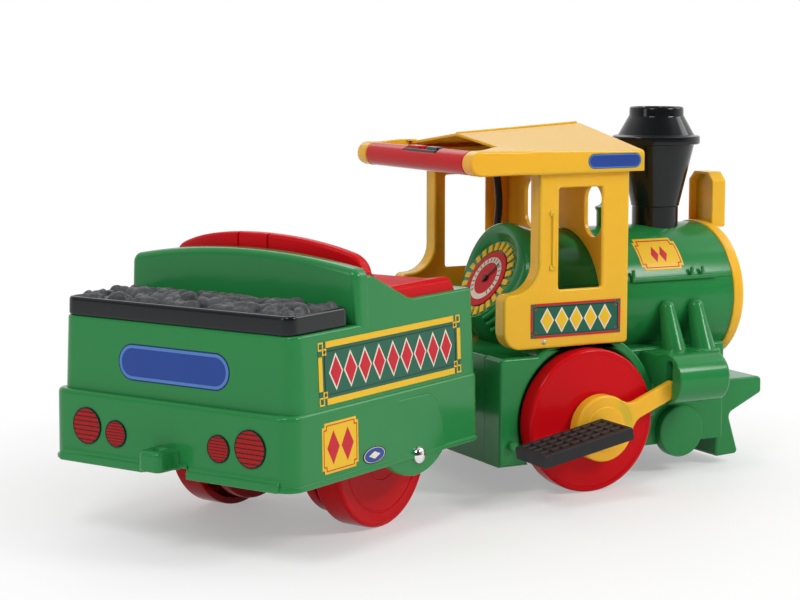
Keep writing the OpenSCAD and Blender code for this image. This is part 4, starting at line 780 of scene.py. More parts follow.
@dataclass
class LowerBody:
    """Moulded lower body of the locomotive: arches, frame, steam cylinders, pipes and pilot."""

    bench: Bench
    half_w: float = 170.0
    rear: float = 146.0
    bottom: float = 46.0
    top: float = 208.0
    arch_top: float = 220.0
    axle_z: float = 108.0
    arch_out: float = 130.0
    arch_in: float = 114.0
    arch_low: float = 100.0
    frame_half: float = 128.0
    frame_front: float = 290.0
    frame_top: float = 200.0
    edge: float = 5.0
    cylinder_c: tuple[float, float] = (-200.0, 162.0)
    cylinder_r: float = 38.0
    cylinder_x: tuple[float, float] = (127.0, 221.0)
    shelf_z: tuple[float, float] = (148.5, 197.0)
    shelf_end: float = 261.0
    slot_y: tuple[float, float] = (-216.0, -200.0)
    slot_z: tuple[float, float] = (130.8, 191.0)
    pipe_x: tuple[float, float] = (185.0, 239.8)
    pipe_r: float = 13.0

    def build(self) -> None:
        """Make every piece of the moulding."""
        self._sides()
        self._core()
        self._cylinders()
        self._front()

    def _angle(self, z: float, radius: float) -> float:
        """Angle above the axle at which a circle round it reaches a height."""
        return math.degrees(math.asin((z - self.axle_z) / radius))

    def _sides(self) -> None:
        """Side walls: the rear panel runs into a ring round the wheel that is cut flat on top."""
        hub = (0.0, self.axle_z)
        start = self._angle(self.top, self.arch_out)
        clip = self._angle(self.arch_top, self.arch_out)
        low = self._angle(self.arch_low, self.arch_out)
        inner = self._angle(self.arch_low, self.arch_in)
        rear = self._angle(self.bottom, self.arch_in)
        c = self.edge
        outline = np.vstack([
            [[-self.rear, self.bottom], [-self.rear, self.top - c], [-self.rear + c, self.top]],
            arc(hub, self.arch_out, 180 - start, 180 - clip, 8),
            arc(hub, self.arch_out, clip, low, 24),
            arc(hub, self.arch_in, inner, 180 - rear, 64),
        ])
        wall = slab(outline, (-self.half_w, -self.frame_half + 4), (self.edge, 0.0), Axis.Y)
        self.bench.both("body_side", wall, GREEN, "loco_body")
        peg = turned([[0, -180], [5, -180], [7, -178], [7, -166], [0, -166]], Axis.Y, (-127, 78), 32)
        self.bench.both("body_peg", peg, GREEN)

    def _core(self) -> None:
        """The closed middle between the side walls, the frame under the boiler and the drawbar tongue."""
        half, wide = self.frame_half - 2, self.frame_half
        core = cup(box_loop((-self.rear + 0.6, 60), (-half, half), 5), (self.bottom, self.top - 0.5), 4, 3)
        frame = cup(box_loop((58, self.frame_front), (-wide, wide), 6), (self.bottom, self.frame_top), 4, 6)
        plan = rounded([[-279, -38, 37.9], [-130, -38, 5], [-130, 38, 5], [-279, 38, 37.9]], 16)
        tongue = slab(plan, (120, 150), (3, 3), Axis.Z)
        self.bench.piece("body_core", core + frame + tongue, GREEN, "loco_body")

    def _cylinders(self) -> None:
        """Steam cylinders with a slotted rear end, the shelf that carries them and the two pipes above it."""
        c, r = self.cylinder_c, self.cylinder_r
        rear, front = self.cylinder_x
        low, high = self.shelf_z
        inner = self.frame_half - 4
        barrel = turned([
            [0, front], *arc((r - 7, front - 7), 7, 90, 0, 7).tolist(), [r, rear + 1.5], [r - 1.5, rear],
            [r - 4, rear + 0.5], [r - 4, front - 8], [0, front - 8],
        ], Axis.X, c)
        slot = box_loop(self.slot_y, self.slot_z, 5)
        end = slab(circle(c, r - 2, 72), (rear + 0.2, rear + 4), (0, 0), Axis.X, [slot])
        block = slab(box_loop((rear + 1, front - 3), (c[0], -inner), 6), (low, high), (2, 4), Axis.Z)
        plan = box_loop((rear + 1.5, self.shelf_end), (-160, -inner), 8)
        shelf = slab(plan, (low, high - 1), (2, 6), Axis.Z)
        shape = sum((self._pipe(x) for x in self.pipe_x), barrel + end + block + shelf)
        self.bench.both("steam_cylinder", shape, GREEN, "loco_body")

    def _pipe(self, x: float) -> Shape:
        """A pipe that leans to the boiler and ends in a dome, of radius r + 8 (1 - t)^1.2 up to the tip."""
        t = np.linspace(0, 1, 18)
        tip = np.radians(np.linspace(0, 88, 9))[1:]
        foot, head = np.array([x, -141.0, 182.0]), np.array([x, -116.6, 257.0])
        line = foot + (head - foot) * t[:, None]
        way = (head - foot) / np.linalg.norm(head - foot)
        radius = self.pipe_r + 8 * (1 - t) ** 1.2
        path = np.vstack([line, head + way * (self.pipe_r * np.sin(tip))[:, None]])
        return tube(path, np.concatenate([radius, self.pipe_r * np.cos(tip)]), 32)

    def _front(self) -> None:
        """Pilot with its beam, and the dummy wheels behind it."""
        side = [[283, 12, 6], [329, 14, 6], [308, 80, 10], [372, 110, 6], [372, 136, 7], [284, 136, 6]]
        pilot = slab(rounded(side, 6), (-118, 118), (4.5, 4.5), Axis.Y)
        self.bench.piece("pilot", pilot, GREEN, "loco_body")
        rows = [[0, -142], [37, -142], [40, -140.8], [41.5, -138], [41.5, -126], [0, -126]]
        self.bench.both("pilot_wheel", turned(rows, Axis.Y, (200, 66), 72), GREEN)


@dataclass
class Boiler:
    """Boiler shells, smoke stack, dome, front ring and headlamp."""

    bench: Bench
    z: float = 267.0
    r: float = 112.0
    wall: float = 4.0
    front: float = 317.0
    seam_up: float = 33.0
    stack_x: float = 241.0
    dome_x: float = 155.0
    lamp_top: float = 460.0
    lamp_half: float = 33.0
    lamp_cut: float = 14.0

    def build(self) -> None:
        """Make every piece of the boiler."""
        self._shells()
        self._stack()
        self._dome()
        self._ring()

    def _sector(self, start: float, end: float) -> Array:
        """Cross-section of a shell between two angles."""
        outer = arc((0, self.z), self.r, start, end, 72)
        inner = arc((0, self.z), self.r - self.wall, end, start, 72)
        return np.vstack([outer, inner])

    def _shells(self) -> None:
        """Upper and lower shell, with the ledges and their posts along the seam."""
        seam = math.degrees(math.asin(self.seam_up / self.r))
        span, fillet = (0, self.front), (0.6, 0.6)
        upper = slab(self._sector(seam + 0.2, 180 - seam - 0.2), span, fillet, Axis.X)
        lower = slab(self._sector(180 - seam + 0.1, 360 + seam - 0.1), span, fillet, Axis.X)
        z = self.z + self.seam_up
        out = math.sqrt(self.r**2 - self.seam_up**2)
        ledge = slab(box_loop((124, 282), (-out - 5, -out + 6), 2), (z + 0.2, z + 6), (0.8, 2), Axis.Z)
        post = [[0, z + 19], [1.5, z + 19], [3, z + 17.5], [3, z + 4], [0, z + 4]]
        for x in (127.5, 238, 258):
            ledge = ledge + turned(post, Axis.Z, (x, -out - 1), 20)
        self.bench.piece("boiler_lower", lower, GREEN, "loco_body")
        self.bench.piece("boiler_upper", upper + ledge + ledge.mirrored(), GREEN, "boiler_top")

    def _stack(self) -> None:
        """Stem and cone below the brim, then the cap with its sunk top."""
        low = self.z + self.r - 12
        base = [
            [33, low], [37, low], [37, 407], [38.6, 408.5], [38.8, 411], [60.6, 505], [60.6, 508], [56, 508],
            [33, 411], [33, low],
        ]
        cap = [
            [0, 556], [36, 556], [52, 507], [68, 507], [69.6, 508], [70, 509.5], [70, 517], [69.4, 519.4],
            [67.5, 520.6], [62, 521.2], [60.4, 522.4], [44.6, 550.5], [43.4, 552.5], [43.2, 562.5],
            [42.4, 565], [41, 566], [39.8, 565.4], [39, 563], [39, 560], [0, 560],
        ]
        spot = (self.stack_x, 0)
        self.bench.piece("stack_cone", turned(base, Axis.Z, spot, 128), BLACK, "stack_base")
        self.bench.piece("stack_crown", turned(cap, Axis.Z, spot, 128), BLACK, "stack_cap")

    def _dome(self) -> None:
        """Steam dome: a drum, a flared brim and a stepped crown."""
        rows = np.array([
            [0, -10], [22, -10], [22, 21], [22.3, 23], [23.6, 25.6], [24.5, 27], [24.5, 29], [23.6, 30.2],
            [18, 32], [15.6, 34.4], [11.6, 41], [10.8, 43.6], [9.4, 44.6], [0, 44.6],
        ])
        dome = turned(rows + [0, self.z + self.r], Axis.Z, (self.dome_x, 0), 72)
        self.bench.piece("dome_cap", dome, GREEN, "steam_dome")

    def _housing(self, t: float) -> Array:
        """Outline of the headlamp's housing, t inside its outer face."""
        half, low, top = self.lamp_half - t, self.z + self.r - 8 + t, self.lamp_top - t
        cut = self.lamp_cut
        return rounded([
            [-half, low, 2], [half, low, 2], [half, top - cut, 3], [half - cut, top, 3],
            [-half + cut, top, 3], [-half, top - cut, 3],
        ], 3)

    def _ring(self) -> None:
        """Front ring and plate, with the open-backed headlamp housing and its lens."""
        r, f = self.r + 2.5, self.front
        rows = np.array([
            [104.5, 14], [104.5, 0.4], [r - 1, 0.4], [r, 1.6], [r, 15], [r - 1.4, 18.4], [r - 5, 20],
            [96, 20], [94, 18.4], [0, 18.4], [0, 14], [104.5, 14],
        ])
        ring = turned(rows + [0, f], Axis.X, (0, self.z), 144)
        back = f + 14
        spot = (0.0, self.lamp_top - self.lamp_cut - 23)
        hole = circle(spot, 23.2, 48)
        walls = slab(self._housing(0), (back, back + 25.5), (1.2, 1.5), Axis.X, [self._housing(4)])
        face = slab(self._housing(3.6), (back + 22, back + 25), (0.3, 0.5), Axis.X, [hole])
        inner = slab(self._housing(3.6), (back + 13, back + 16), (0.3, 0.3), Axis.X)
        self.bench.piece("smokebox_ring", ring + walls + face + inner, YELLOW, "smokebox_front")
        bulge = np.array([
            [0, -3], [26, -3], [26, -0.2], [22.7, -0.2], [22.7, 4], [18, 5.8], [10, 6.7], [0, 7],
        ])
        lens = turned(bulge + [0, back + 22], Axis.X, spot, 64)
        self.bench.piece("lamp_lens", lens, LENS, "headlamp_lens")


@dataclass
class Cab:
    """Cab sides and front, the roof with its arms, the grip and the dash."""

    bench: Bench
    half_w: float = 176.0
    t: float = 28.0
    wall: float = 5.0
    bottom: float = 220.0
    top: float = 502.0
    window_x: tuple[float, float] = (-51.0, 25.0)
    window_z: tuple[float, float] = (306.0, 456.0)
    front_x: float = 63.4
    front_window: tuple[float, float, float, float] = (89.0, 396.0, 428.0, 24.0)
    roof_half: float = 184.0
    eave: tuple[float, float] = (478.0, 508.0)
    ridge: tuple[float, float] = (531.0, 544.0)
    roof_x: tuple[float, float] = (-126.0, 92.0)
    grip_c: tuple[float, float] = (-186.0, 494.5)
    grip_r: float = 17.8
    arm_w: float = 29.0
    arm_root: float = 44.0
    button_y: tuple[float, float] = (12.5, -44.5)
    dash_c: tuple[float, float, float] = (-71.0, 0.0, 305.0)
    dash_r: float = 66.0
    dash_tilt: float = 30.0

    def build(self) -> None:
        """Make every piece of the cab."""
        self._sides()
        self._front()
        self._roof()
        self._arms()
        self._grip()
        self._backhead()
        self._gauge()

    def _panel(self, t: float) -> Array:
        """Outline of a side panel, t inside its edge."""
        rear, post, front, low, sill, top = -143 + t, -84 + t, 72 - t, self.bottom + t, 302 - t, self.top - t
        return rounded([
            [rear, low, 28 - t], [front, low, 6], [front, top, 6], [post, top, 6], [post, sill, 44 + t],
            [rear, sill, 12 - t],
        ], 9)

    def _sides(self) -> None:
        """Side panels, hollow from within, with windows, a moulded hand rail on the rear post and a screw."""
        out = -self.half_w
        window = box_loop(self.window_x, self.window_z, 4)
        face = slab(self._panel(0), (out, out + self.wall), (3.5, 0.4), Axis.Y, [window])
        flange = slab(self._panel(0.02), (out + 3.6, out + self.t), (0, 2), Axis.Y, [self._panel(self.wall)])
        rail = slab(box_loop((-63.6, -59.4), (339, 419), 2), (out - 3.4, out + 1), (1.4, 0), Axis.Y)
        for z in (335, 415):
            rail = rail + slab(box_loop((-67.5, -55.5), (z, z + 8), 2), (out - 2.2, out + 1), (1, 0), Axis.Y)
        self.bench.both("cab_panel", face + flange + rail, YELLOW, "cab_side_*")
        rows = np.array([[0, -2.2], [1.9, -1.9], [3.2, -1.1], [3.7, 0], [3.7, 3], [0, 3]])
        head = turned(rows + [0, out], Axis.Y, (-76, self.bottom + 10), 32)
        self.bench.piece("cab_screw_heads", head + head.mirrored(), STEEL, "cab_screws")

    def _ridge_at(self, x: float) -> float:
        """Height of the ridge at a place along the roof."""
        share = (x - self.roof_x[0]) / (self.roof_x[1] - self.roof_x[0])
        return self.ridge[0] + (self.ridge[1] - self.ridge[0]) * share

    def _front(self) -> None:
        """Front wall cut round the boiler, with two tall round-ended windows."""
        x, half, hole, low = self.front_x, self.half_w - self.t - 0.4, Boiler.r + 0.4, self.bottom
        ridge = self._ridge_at(x) - 5
        eave = ridge - (ridge - self.eave[1] + 4) * half / 180
        outline = np.vstack([
            [[half, low], [half, eave], [0, ridge], [-half, eave], [-half, low], [-hole, low]],
            arc((0, Boiler.z), hole, 180, 0, 72),
            [[hole, low]],
        ])
        middle, foot, head, r = self.front_window
        windows = [
            np.vstack([arc((y, head), r, 0, 180, 24), arc((y, foot), r, 180, 360, 24)])
            for y in (-middle, middle)
        ]
        wall = slab(outline, (x, x + 8), (1.5, 1.5), Axis.X, windows)
        self.bench.piece("cab_front_wall", wall, YELLOW, "cab_front")

    def _roof(self) -> None:
        """Gable skin: a section across the roof whose ridge rises evenly to the front."""
        half, low, eave = self.roof_half, *self.eave

        def section(ridge: float) -> Array:
            """Side bands, rounded eaves and a soft ridge."""
            line = [[-half, low, 0], [-half, eave, 7], [0, ridge, 60], [half, eave, 7], [half, low, 0]]
            return rounded(line, 8)[8:-8]

        share = np.array([0, 0.004, 0.5, 0.996, 1])[:, None, None]
        flat = section(self.ridge[0]) * (1 - share) + section(self.ridge[1]) * share
        x = np.broadcast_to(self.roof_x[0] + (self.roof_x[1] - self.roof_x[0]) * share, (*flat.shape[:2], 1))
        skin = grid(np.concatenate([x, flat], -1))
        self.bench.piece("roof_skin", skin, YELLOW, "cab_roof", wall=4, facing=(0, 0, 1))

    def _arms(self) -> None:
        """Arms from the roof's side bands to the grip, and the lip along the ridge."""
        half, low, eave = self.roof_half, *self.eave
        gx, gz = self.grip_c
        front = self.roof_x[1] - 0.3
        nose = np.vstack([arc((gx, gz), 18.4, 82, 278, 32), [[front, low - 0.2], [front, eave - 1]]])
        arm = slab(resampled(loop_of(nose), 4.0), (-half - 0.3, self.arm_w - half), (4, 2.5), Axis.Y)
        fall = (self.ridge[0] - eave) / half

        def spread(p: Array) -> Array:
            """Widens the arm to its root, thins it under the roof, and gives its top the roof's slope."""
            wide = 1 + (self.arm_root / self.arm_w - 1) * smoothstep(p[:, 0], gx + 12, -126)
            wide = wide - (wide - 0.24) * smoothstep(p[:, 0], -122, -98)
            inward = (p[:, 1] + half) * wide
            high = np.clip((p[:, 2] - low) / (eave - low), 0, 1) * smoothstep(p[:, 0], gx, gx + 40)
            return np.column_stack([p[:, 0], inward - half, p[:, 2] + fall * inward * high])

        self.bench.both("roof_arm", arm.mapped(spread), YELLOW, "cab_roof")
        rear, front = self.roof_x[0] + 1, self.roof_x[1] - 1
        z0, z1 = self.ridge
        lip = np.array([[rear, z0 - 5], [front, z1 - 5], [front, z1 + 1.6], [rear, z0 + 1.6]])
        self.bench.piece("roof_ridge", slab(lip, (0.5, 5), (0.8, 0.8), Axis.Y), YELLOW, "cab_roof")

    def _grip(self) -> None:
        """Grip: a round bar whose top is clipped flat under the switch plate, and the two buttons."""
        gx, gz = self.grip_c
        half = self.roof_half - self.arm_w - 0.3
        plate_z, mid, reach, sides, soft = gz + 10.8, -16.0, 52.0, 64, 3.0
        steps = mid + reach * np.array([-1.02, -1, 1, 1.02])
        y = np.unique(np.concatenate([np.linspace(-half, half, 120), steps]))
        a = np.linspace(0, 2 * np.pi, sides, endpoint=False)
        end = np.minimum(half - np.abs(y), soft)
        radius = (self.grip_r - soft + np.sqrt(np.maximum(soft**2 - (soft - end) ** 2, 0)))[:, None]
        z = gz + radius * np.sin(a)
        limit = np.where(np.abs(y - mid) <= reach, plate_z, gz + self.grip_r)[:, None]
        across = np.broadcast_to(y[:, None], z.shape)
        bar = grid(np.stack([gx + radius * np.cos(a), across, np.minimum(z, limit)], -1), wrap_columns=True)
        bar.faces += [list(range(sides)), list(range((len(y) - 1) * sides, len(y) * sides))]
        self.bench.piece("grip_handle", bar, RED, "grip_bar")

        def block(wide: float, long: float, middle: float, r: float) -> Array:
            """A rounded rectangle on the grip, of half a width and half a length."""
            return box_loop((gx - wide, gx + wide), (middle - long, middle + long), r)

        holes = [block(7.8, 17.8, b, 2) for b in self.button_y]
        plate = slab(block(13, 51.5, mid, 5), (plate_z + 0.1, plate_z + 4), (0, 1.5), Axis.Z, holes)
        self.bench.piece("button_base", plate, BLACK, "switch_plate")
        contact = (gz - 8, plate_z - 8)
        contacts = (slab(block(5, 12, b, 1), contact, (0.5, 0.5), Axis.Z) for b in self.button_y)
        self.bench.piece("button_contacts", sum(contacts, Shape()), DARK, "button_switches")
        for name, b, finish in zip(("sound", "go"), self.button_y, (RED, BLACK)):
            cap = slab(block(7.5, 17.5, b, 2), (plate_z - 3.3, plate_z + 8.4), (0.5, 2), Axis.Z)
            self.bench.piece(f"{name}_button_cap", cap, finish, f"{name}_button", body=name)

    def on_dash(self, points: Array) -> Array:
        """Points across, up and out of the dash plane, placed in the locomotive's frame."""
        c, s = math.cos(math.radians(self.dash_tilt)), math.sin(math.radians(self.dash_tilt))
        across, up, out = (0.0, 1.0, 0.0), (s, 0.0, c), (-c, 0.0, s)
        return np.asarray(self.dash_c) + points @ np.array([across, up, out])

    def _backhead(self) -> None:
        """Boiler end: rings blend from the boiler's circle to the dash's round a shoulder, then close."""
        count = 96
        ring = circle((0, 0), 1, count)
        flat = np.zeros(count)
        around = Boiler.r * ring
        first = np.column_stack([flat, around[:, 0], Boiler.z + around[:, 1]])
        last = self.on_dash(np.column_stack([self.dash_r * ring, flat]))
        v = np.linspace(0, 1, 22)[:, None, None] * np.pi / 2
        near, far = first.mean(0), last.mean(0)
        spoke = (first - near) + ((last - far) - (first - near)) * (1 - np.cos(v))
        dome = near + (far - near) * np.sin(v) + spoke
        face = far + (last - far) * np.array([0.97, 0.9, 0.5, 0.0])[:, None, None]
        inner = np.broadcast_to(near, (1, count, 3))
        end = grid(np.concatenate([inner, dome, face]), wrap_columns=True)
        self.bench.piece("boiler_end", end, GREEN, "backhead")
        turn = np.radians(np.linspace(-150, -25, 40))
        ribs = Shape()
        for radius, back in ((70, 6), (76, 15), (82, 25)):
            path = np.column_stack([radius * np.sin(turn), radius * np.cos(turn), np.full(40, -back)])
            ribs = ribs + tube(self.on_dash(path), 4.2, 14)
        self.bench.piece("dash_pipes", ribs, GREEN)

    def _gauge(self) -> None:
        """A plain pressure gauge: a red dial, a cream scale, ticks and a needle in a ring of blocks."""
        middle = (0, 0)
        dial = turned([[0, 2.6], [45, 2.6], [46.5, 2.2], [47, 1], [47, -1], [0, -1]], Axis.Z, middle, 96)
        band = slab(circle(middle, 36, 96), (2.4, 2.9), (0, 0), Axis.Z, [circle(middle, 27, 96)])
        tick = slab(box_loop((-0.8, 0.8), (28.5, 34.5)), (2.7, 3.2), (0, 0), Axis.Z)
        point = rounded([[-2.2, -8, 1], [2.2, -8, 1], [0.6, 33, 0.4], [-0.6, 33, 0.4]], 3)
        needle = slab(point, (4, 4.8), (0, 0), Axis.Z)
        hub = turned([[0, 6.2], [4, 6.2], [5, 5.4], [5, 2.5], [0, 2.5]], Axis.Z, middle, 32)
        marks = self._spun(tick, np.linspace(-135, 135, 19)) + self._spun(needle, np.array([38.0])) + hub
        block = slab(box_loop((-4.6, 4.6), (49, 63), 1), (-1, 2.4), (0, 0.6), Axis.Z)
        blocks = self._spun(block, np.arange(0, 360, 15.0))
        self.bench.piece("gauge_dial", dial.mapped(self.on_dash), RED, "gauge_plate")
        self.bench.piece("gauge_scale", band.mapped(self.on_dash), PRINT_CREAM, slot="red_plastic")
        self.bench.piece("gauge_marks", marks.mapped(self.on_dash), PRINT_DARK, slot="black_plastic")
        self.bench.piece("gauge_blocks", blocks.mapped(self.on_dash), PRINT_YELLOW)

    @staticmethod
    def _spun(shape: Shape, angles: Array) -> Shape:
        """Copies of a flat shape turned about the dial's middle by angles in degrees."""
        return sum((shape.mapped(lambda p: spin(p, angle)) for angle in np.radians(angles)), Shape())


@dataclass
class Lead:
    """The black lead from the roof down to the body beside the boiler."""

    bench: Bench
    d: float = 12.0
    route: tuple = (
        (16, 132, 510), (20, 131, 470), (26, 130, 410), (18, 128, 350), (10, 124, 300), (6, 122, 220.5),
    )

    def build(self) -> None:
        p = np.array(self.route, float)
        q = np.vstack([p[:1], p, p[-1:]])
        t = np.linspace(0, 1, 7)[:-1][None, :, None]
        a, b, c, d = (q[k : k + len(p) - 1, None] for k in range(4))
        square, cube = 2 * a - 5 * b + 4 * c - d, 3 * b - a - 3 * c + d
        curve = 0.5 * (2 * b + (c - a) * t + square * t**2 + cube * t**3)
        path = np.vstack([curve.reshape(-1, 3), p[-1:]])
        piece = self.bench.piece("handle_lead_sheath", tube(path, self.d / 2, 20), SHEATH, "handle_lead")
        line = self.bench.place.put(path)
        self.d * MM


@dataclass
class Wheels:
    """Front wheels, rods and pedals of the locomotive, and the rear wheels under the tender."""

    bench: Bench
    rear: Bench
    r: float = 108.0
    front_y: tuple[float, float] = (162.0, 192.0)
    rear_y: tuple[float, float] = (106.0, 149.0)
    rear_x: float = -229.0
    disc_y: tuple[float, float] = (72.0, 90.0)
    disc_r: float = 95.0
    crank: tuple[float, float] = (9.19, -9.19)
    big_end_y: tuple[float, float] = (194.0, 214.0)
    rod_y: tuple[float, float] = (202.0, 214.0)
    rod_end: tuple[float, float] = (131.0, 148.0)
    pedal_y: float = 217.0
    pedal_size: tuple[float, float, float] = (152.0, 80.0, 19.0)
    pedal_border: float = 6.0
    pedal_tilt: float = 11.0

    def build(self) -> None:
        """Make all the running gear, with the cranks opposite on the two sides."""
        for side, sign in (("right", 1), ("left", -1)):
            spot = (sign * self.crank[0], self.r + sign * self.crank[1])
            self._front(side, spot)
            self._rod(side, spot)
            self._pedal(side, spot)
            self._rear(side)

    @staticmethod
    def _sided(shape: Shape, side: str) -> Shape:
        """A shape drawn on the left side, mirrored for the right."""
        return shape.mirrored() if side == "right" else shape

    @staticmethod
    def _set(shape: Shape, spot: Sequence[float], angle: float) -> Shape:
        """A shape drawn flat, along X and Z with its thickness last, turned and set at a spot."""
        return shape.mapped(lambda p: (spin(p, angle) + [*spot, 0.0])[:, [0, 2, 1]])

    def _wheel(self, x: float, y: tuple[float, float], rings: Sequence[tuple[float, float]]) -> Shape:
        """A hollow wheel: a face with shallow rings, a rounded tread and an open inner side with ribs.

        Args:
            x: the axle's place.
            y: inner and outer end of the wheel.
            rings: radius and depth of each shallow groove in the face.

        Returns:
            The wheel on the left side.
        """
        back, out, r = *y, self.r
        rows = [[0, out - 1]]
        for radius, depth in rings:
            low = out - 1 - depth
            rows += [[radius - 1.6, out - 1], [radius - 0.8, low]]
            rows += [[radius + 0.8, low], [radius + 1.6, out - 1]]
        rows += [[r - 9, out - 1], [r - 7.6, out - 0.2], [r - 6.6, out]]
        rows += arc((r - 5, out - 5), 5, 90, 0, 8)[1:].tolist()
        rows += arc((r - 3, back + 3), 3, 0, -90, 6).tolist()
        rows += [[r - 9, back], [r - 10, back + 1], [r - 10, out - 6], [16, out - 6], [16, back + 0.8]]
        rows += [[15.2, back], [0, back]]
        rib = slab(box_loop((15, r - 9.5), (-2, 2), 0.5, 2), (back + 5, out - 5), (0.6, 0), Axis.Z)
        ribs = (self._set(rib, (x, r), angle) for angle in np.radians(np.arange(0, 360, 60)))
        return sum(ribs, turned(rows, Axis.Y, (x, r), 144))

    def _front(self, side: str, spot: Sequence[float]) -> None:
        """A front wheel with its crank boss."""
        out = self.front_y[1]
        rows = [[0, out + 13], [18.5, out + 13], [20, out + 11.5], [20, out - 2], [0, out - 2]]
        wheel = self._wheel(0.0, self.front_y, ((88, 0.0),)) + turned(rows, Axis.Y, spot, 64)
        node = f"front_wheel_{side}"
        self.bench.piece(f"drive_wheel_{side}", self._sided(wheel, side), RED, node, body="front_wheelset")

    def _rod(self, side: str, spot: Sequence[float]) -> None:
        """Side rod: a round big end with a stepped face, and an arm that flares into it."""
        y0, y1 = self.big_end_y
        ring = turned([
            [20.4, y0 + 13], [20.4, y0], [48.5, y0], [50, y0 + 1.5], *arc((46, y1 - 4), 4, 0, 90, 6).tolist(),
            [34, y1], [33.2, y1 + 0.6], [32.6, y1 + 2.4], [31.4, y1 + 3], [0, y1 + 3], [0, y0 + 13],
            [20.4, y0 + 13],
        ], Axis.Y, spot, 112)
        run, rise = self.rod_end[0] - self.crank[0], self.rod_end[1] - self.r - self.crank[1]
        slope, length = math.atan2(rise, run), math.hypot(run, rise) + 6
        flat = rounded([
            [34, -34, 4], [56, -13.5, 24], [length, -13.5, 5], [length, 13.5, 5], [56, 13.5, 24], [34, 34, 4],
        ], 8)
        inner, outer = self.rod_y
        arm = slab(spin(flat, slope) + spot, (inner, outer - 0.8), (2, 3), Axis.Y)
        ex, ez = spot[0] + length * math.cos(slope), spot[1] + length * math.sin(slope)
        tail = slab(box_loop((ex - 14, ex + 22), (ez - 5.5, ez + 5.5), 2), (inner, outer), (1, 1), Axis.Y)
        body = f"rod_{side}"
        self.bench.piece(body, self._sided(ring + arm + tail, side), YELLOW, f"side_rod_{side}", body=body)

    def _pedal(self, side: str, spot: Sequence[float]) -> None:
        """Foot platform: a field of heights sunk into square cells between a border and cross bars."""
        (long, wide, thick), edge, soft = self.pedal_size, self.pedal_border, 2.5
        x, y = np.linspace(0, long, 229), np.linspace(0, wide, 121)
        gx, gy = np.meshgrid(x, y, indexing="ij")
        cell_x, cell_y = (long - 2 * edge) / 8, (wide - 2 * edge) / 4
        along = np.abs((gx - edge) % cell_x - cell_x / 2)
        across = np.abs((gy - edge) % cell_y - cell_y / 2)
        inside = smoothstep(cell_x / 2 - along, 1.6, 2.8) * smoothstep(cell_y / 2 - across, 1.6, 2.8)
        border = np.minimum(np.minimum(gx, long - gx), np.minimum(gy, wide - gy))
        rim = soft - np.sqrt(np.maximum(soft**2 - np.maximum(soft - border, 0) ** 2, 0))
        top = thick - 2.2 * inside * smoothstep(border, 6.4, 7.2) - rim
        pad = relief(x - 5 - long, y + self.pedal_y, top, 0.6).mapped(lambda p: p[:, [0, 2, 1]])
        pad = self._sided(self._set(pad, spot, math.radians(self.pedal_tilt)), side)
        self.bench.piece(f"foot_platform_{side}", pad, TREAD, f"pedal_{side}", body=f"rod_{side}")

    def _rear(self, side: str) -> None:
        """A rear wheel with its smaller inner disc."""
        wheel = self._sided(self._wheel(self.rear_x, self.rear_y, ((40, 0.7), (86, 0.9))), side)
        body = f"rear_{side}"
        self.rear.piece(f"tender_wheel_{side}", wheel, RED, f"rear_wheel_{side}", body=body)
        (y0, y1), r = self.disc_y, self.disc_r
        rows = [[16.1, y0], [r - 4, y0], *arc((r - 4, y0 + 4), 4, -90, 0, 6).tolist()]
        rows += arc((r - 2, y1 - 2), 2, 0, 90, 4).tolist()
        rows += [[r - 5, y1], [r - 5, y0 + 5], [21, y0 + 5], [21, y1], [16.1, y1], [16.1, y0]]
        disc = self._sided(turned(rows, Axis.Y, (self.rear_x, self.r), 112), side)
        self.rear.piece(f"guide_disc_{side}", disc, RED, f"wheel_disc_{side}", body=body)


